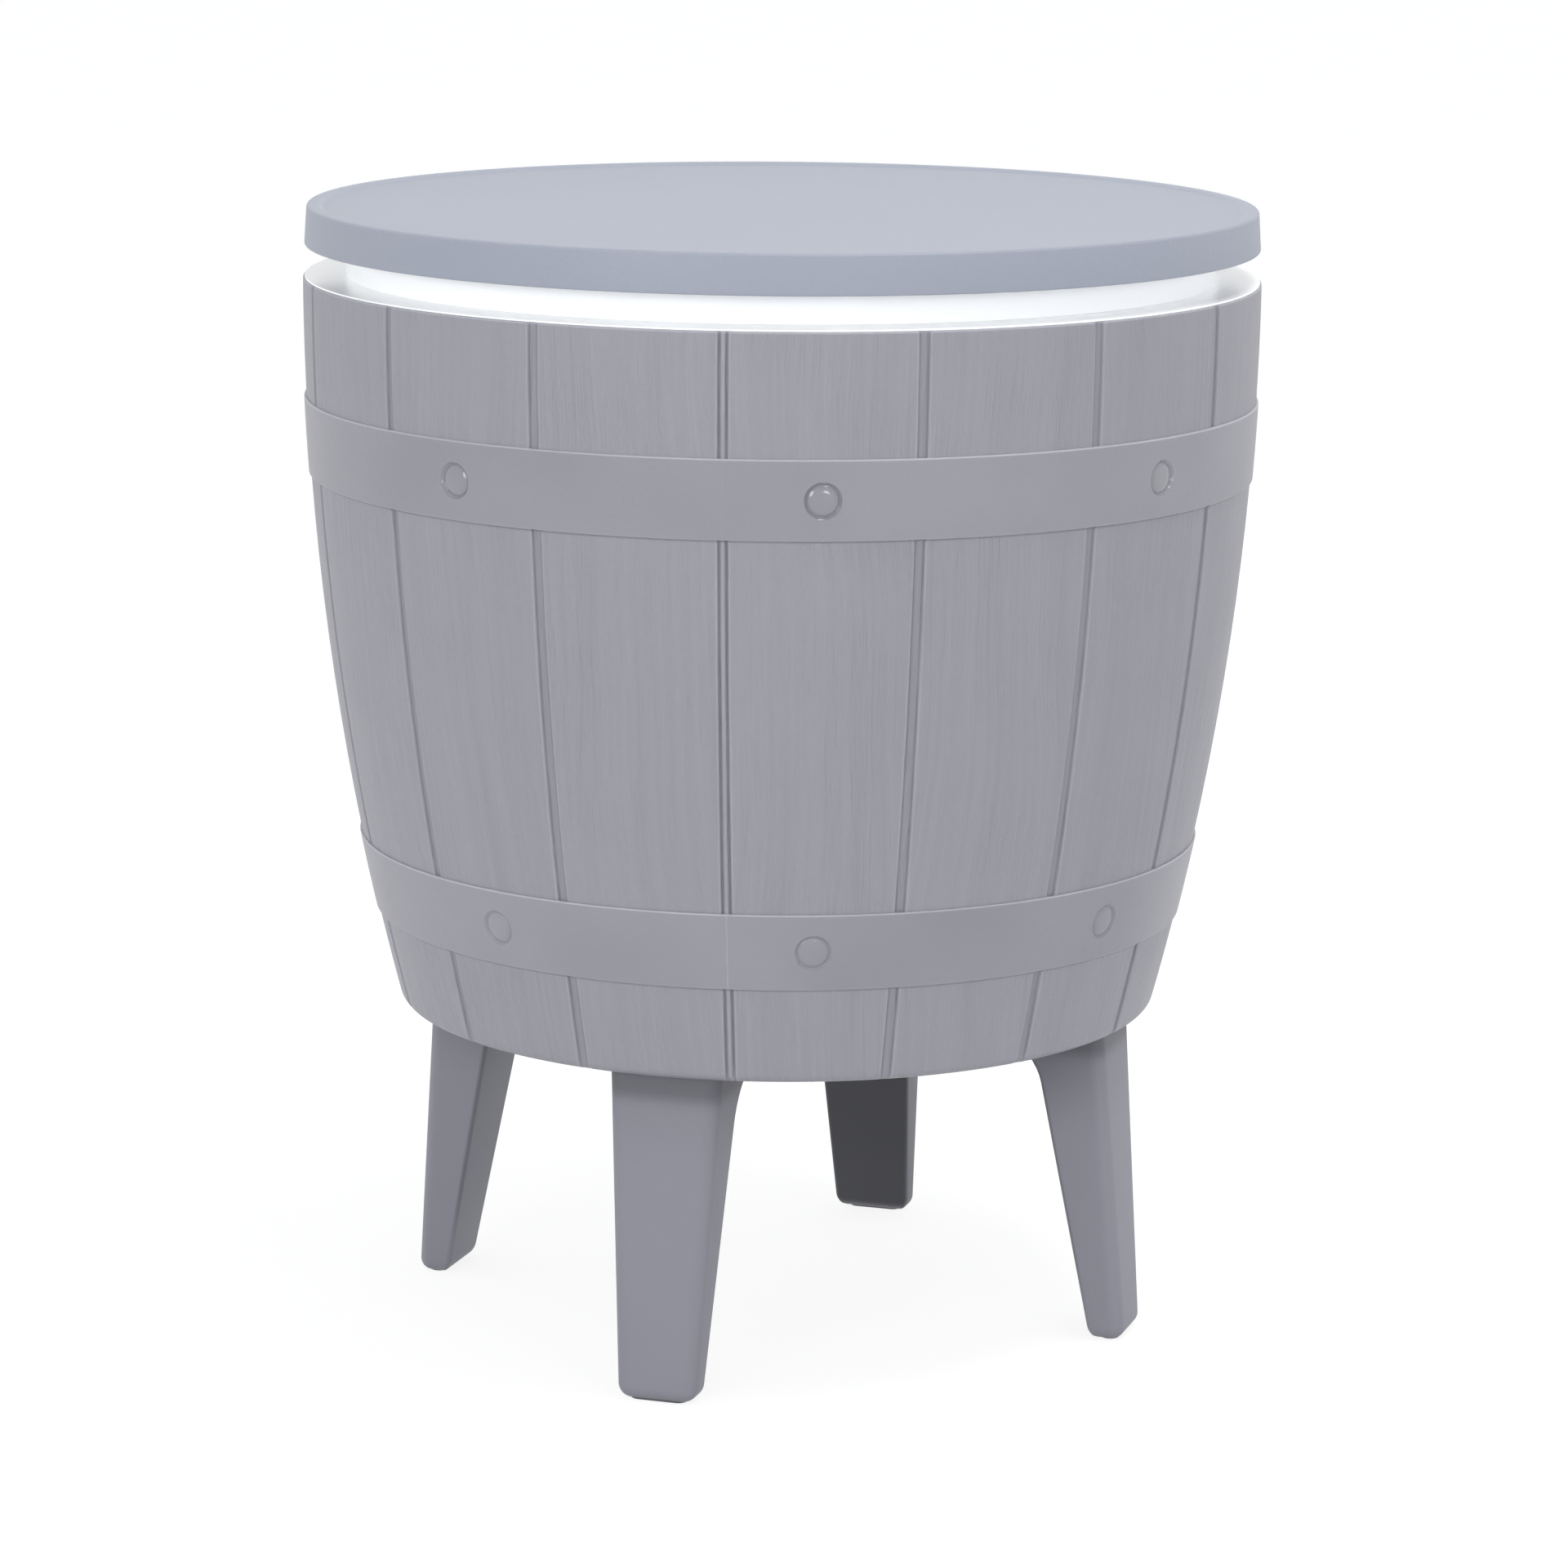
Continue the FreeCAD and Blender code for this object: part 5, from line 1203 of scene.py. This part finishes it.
class COOLER_OT_inner_finishes(bpy.types.Operator):
    """Gives the pieces inside the column and under the lid their finishes"""

    bl_idname = "cooler.finish_inner_parts"
    bl_label = "Inner parts"

    def execute(self, context):
        light = moulded_plastic("inner_plastic", tint(188, 189, 192), 0.5, 900.0, 0.05 * MM, 0.03)
        dark = moulded_plastic("bearing_plastic", tint(88, 89, 92), 0.35, 900.0, 0.04 * MM, 0.03)
        zinc = drawn_metal("zinc_inner", tint(196, 196, 192), 0.34, 4000.0)
        finishes = {
            light: ["guide_tube", "guide_base", "post_flange", "tube_end_plug"],
            dark: ["locking_collar"],
            zinc: ["flange_screws", "cross_pin", "plug_rivets", "retaining_ring"],
        }
        for material, nodes in finishes.items():
            for node in nodes:
                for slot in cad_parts[node].material_slots:
                    slot.material = material
        return {"FINISHED"}


class COOLER_OT_stage(bpy.types.Operator):
    """Makes the floor, the soft lights and the camera"""

    bl_idname = "cooler.set_stage"
    bl_label = "Stage"

    def execute(self, context):
        stage = context.scene.cooler_stage
        self.floor(tuple(stage.floor))
        self.lights(context.scene)
        self.sky(context.scene)
        self.camera(context.scene, stage)
        context.scene.view_settings.view_transform = "Standard"
        return {"FINISHED"}

    def seen_else(self, tree, seen, unseen):
        """One shader for rays from the camera, a gloss or a clear body, and another for the rest."""
        rays = add_node(tree, "ShaderNodeLightPath")
        sharp = maths(tree, "MAXIMUM", rays["Is Camera Ray"], rays["Is Glossy Ray"])
        either = maths(tree, "MAXIMUM", sharp, rays["Is Transmission Ray"])
        return add_node(tree, "ShaderNodeMixShader", {"Fac": either, 1: unseen, 2: seen})["Shader"]

    def floor(self, colour_value):
        """A wide plane. The camera sees it as white, less the object's soft shadow."""
        half = 30.0
        points = np.array([(-half, -half, 0), (half, -half, 0), (half, half, 0), (-half, half, 0)])
        plain = {"Roughness": 0.9, "Specular IOR Level": 0.1, "Base Color": (*colour_value, 1)}
        material, tree, shader = start_material("floor_white", plain)
        glow = add_node(tree, "ShaderNodeEmission", {"Color": (0.84, 0.84, 0.84, 1), "Strength": 1.0})
        dim = add_node(tree, "ShaderNodeBsdfDiffuse", {"Color": (0.26, 0.26, 0.26, 1)})
        seen = add_node(tree, "ShaderNodeAddShader", {0: glow["Emission"], 1: dim["BSDF"]})["Shader"]
        both = self.seen_else(tree, seen, shader.outputs["BSDF"])
        feed(tree, tree.nodes["Material Output"], {"Surface": both})
        finished(new_mesh("floor", (points, np.array([[0, 1, 2, 3]]))), material, outward=False)

    def lights(self, scene):
        """Lamps above, high in front, low at the left and low in front, with their size and power."""
        for name, place, size, power in (
            ("overhead", (0.3, -0.45, 2.65), 0.9, 25.0),
            ("high", (-0.1, -1.9, 2.2), 0.5, 3.0),
            ("side", (-2.4, -1.5, 1.0), 1.0, 12.5),
            ("front", (-0.6, -2.85, 0.6), 0.5, 4.0),
        ):
            light = bpy.data.lights.new(name, "AREA")
            light.size = size
            light.energy = power
            lamp = bpy.data.objects.new(name, light)
            aim = Vector((0, 0, 0.35)) - Vector(place)
            lamp.matrix_world = Matrix.Translation(place) @ aim.to_track_quat("-Z", "Y").to_matrix().to_4x4()
            scene.collection.objects.link(lamp)

    def sky(self, scene):
        """A sky brightest at the horizon, which the camera sees as plain white."""
        world = bpy.data.worlds.new("surround")
        world.use_nodes = True
        scene.world = world
        tree = world.node_tree
        direction = add_node(tree, "ShaderNodeTexCoord")["Generated"]
        height = add_node(tree, "ShaderNodeSeparateXYZ", {"Vector": direction})["Z"]
        level = ranged(tree, height, 3.15, 0.45, 0.15, 0.36, interpolation_type="SMOOTHSTEP")
        sky = tree.nodes["Background"]
        feed(tree, sky, {"Color": (0.95, 0.97, 1.0, 1), "Strength": level})
        white = add_node(tree, "ShaderNodeBackground", {"Color": (1, 1, 1, 1), "Strength": 1.0})
        both = self.seen_else(tree, white["Background"], sky.outputs["Background"])
        feed(tree, tree.nodes["World Output"], {"Surface": both})

    def camera(self, scene, stage):
        """Turned round the table by its azimuth, the camera looks along yaw and pitch and leans by roll."""
        data = bpy.data.cameras.new("camera")
        data.sensor_width = 36
        data.lens = stage.lens
        data.clip_end = 200
        camera = bpy.data.objects.new("camera", data)
        scene.collection.objects.link(camera)
        scene.camera = camera
        aside, ahead = math.sin(stage.yaw), math.cos(stage.yaw)
        level = math.cos(stage.pitch)
        forward = Vector((aside * level, ahead * level, -math.sin(stage.pitch)))
        right = Vector((ahead, -aside, 0))
        up = right.cross(forward)
        lean_right = right * math.cos(stage.roll) + up * math.sin(stage.roll)
        lean_up = up * math.cos(stage.roll) - right * math.sin(stage.roll)
        facing = Matrix((lean_right, lean_up, -forward)).transposed().to_4x4()
        swing = Matrix.Rotation(stage.azimuth, 4, "Z")
        camera.matrix_world = swing @ Matrix.Translation((0, -stage.distance, stage.height)) @ facing


class COOLER_PT_panel(bpy.types.Panel):
    """Lists the pieces of the cooler table"""

    bl_label = "Cooler Table"
    bl_idname = "COOLER_PT_panel"
    bl_space_type = "VIEW_3D"
    bl_region_type = "UI"
    bl_category = "Cooler Table"

    def draw(self, context):
        for maker in MAKERS:
            self.layout.operator(maker.bl_idname)


MAKERS = (
    COOLER_OT_barrel, COOLER_OT_table_top, COOLER_OT_white_parts, COOLER_OT_legs, COOLER_OT_post,
    COOLER_OT_drain, COOLER_OT_screws, COOLER_OT_inner_finishes, COOLER_OT_stage,
)
GROUPS = {
    "cooler_barrel": BarrelSizes, "cooler_lid": LidSizes, "cooler_bucket": BucketSizes,
    "cooler_legs": LegSizes, "cooler_stage": StageSettings,
}


def register():
    """Adds the sizes, the operators and the panel to the program."""
    for name, settings in GROUPS.items():
        bpy.utils.register_class(settings)
        setattr(bpy.types.Scene, name, bpy.props.PointerProperty(type=settings))
    for kind in MAKERS + (COOLER_PT_panel,):
        bpy.utils.register_class(kind)


def unregister():
    """Takes them out again."""
    for kind in reversed(MAKERS + (COOLER_PT_panel,)):
        bpy.utils.unregister_class(kind)
    for name, settings in GROUPS.items():
        delattr(bpy.types.Scene, name)
        bpy.utils.unregister_class(settings)


def main():
    """Makes every piece in order."""
    register()
    for maker in MAKERS:
        area, name = maker.bl_idname.split(".")
        getattr(getattr(bpy.ops, area), name)()


if __name__ == "__main__":
    main()
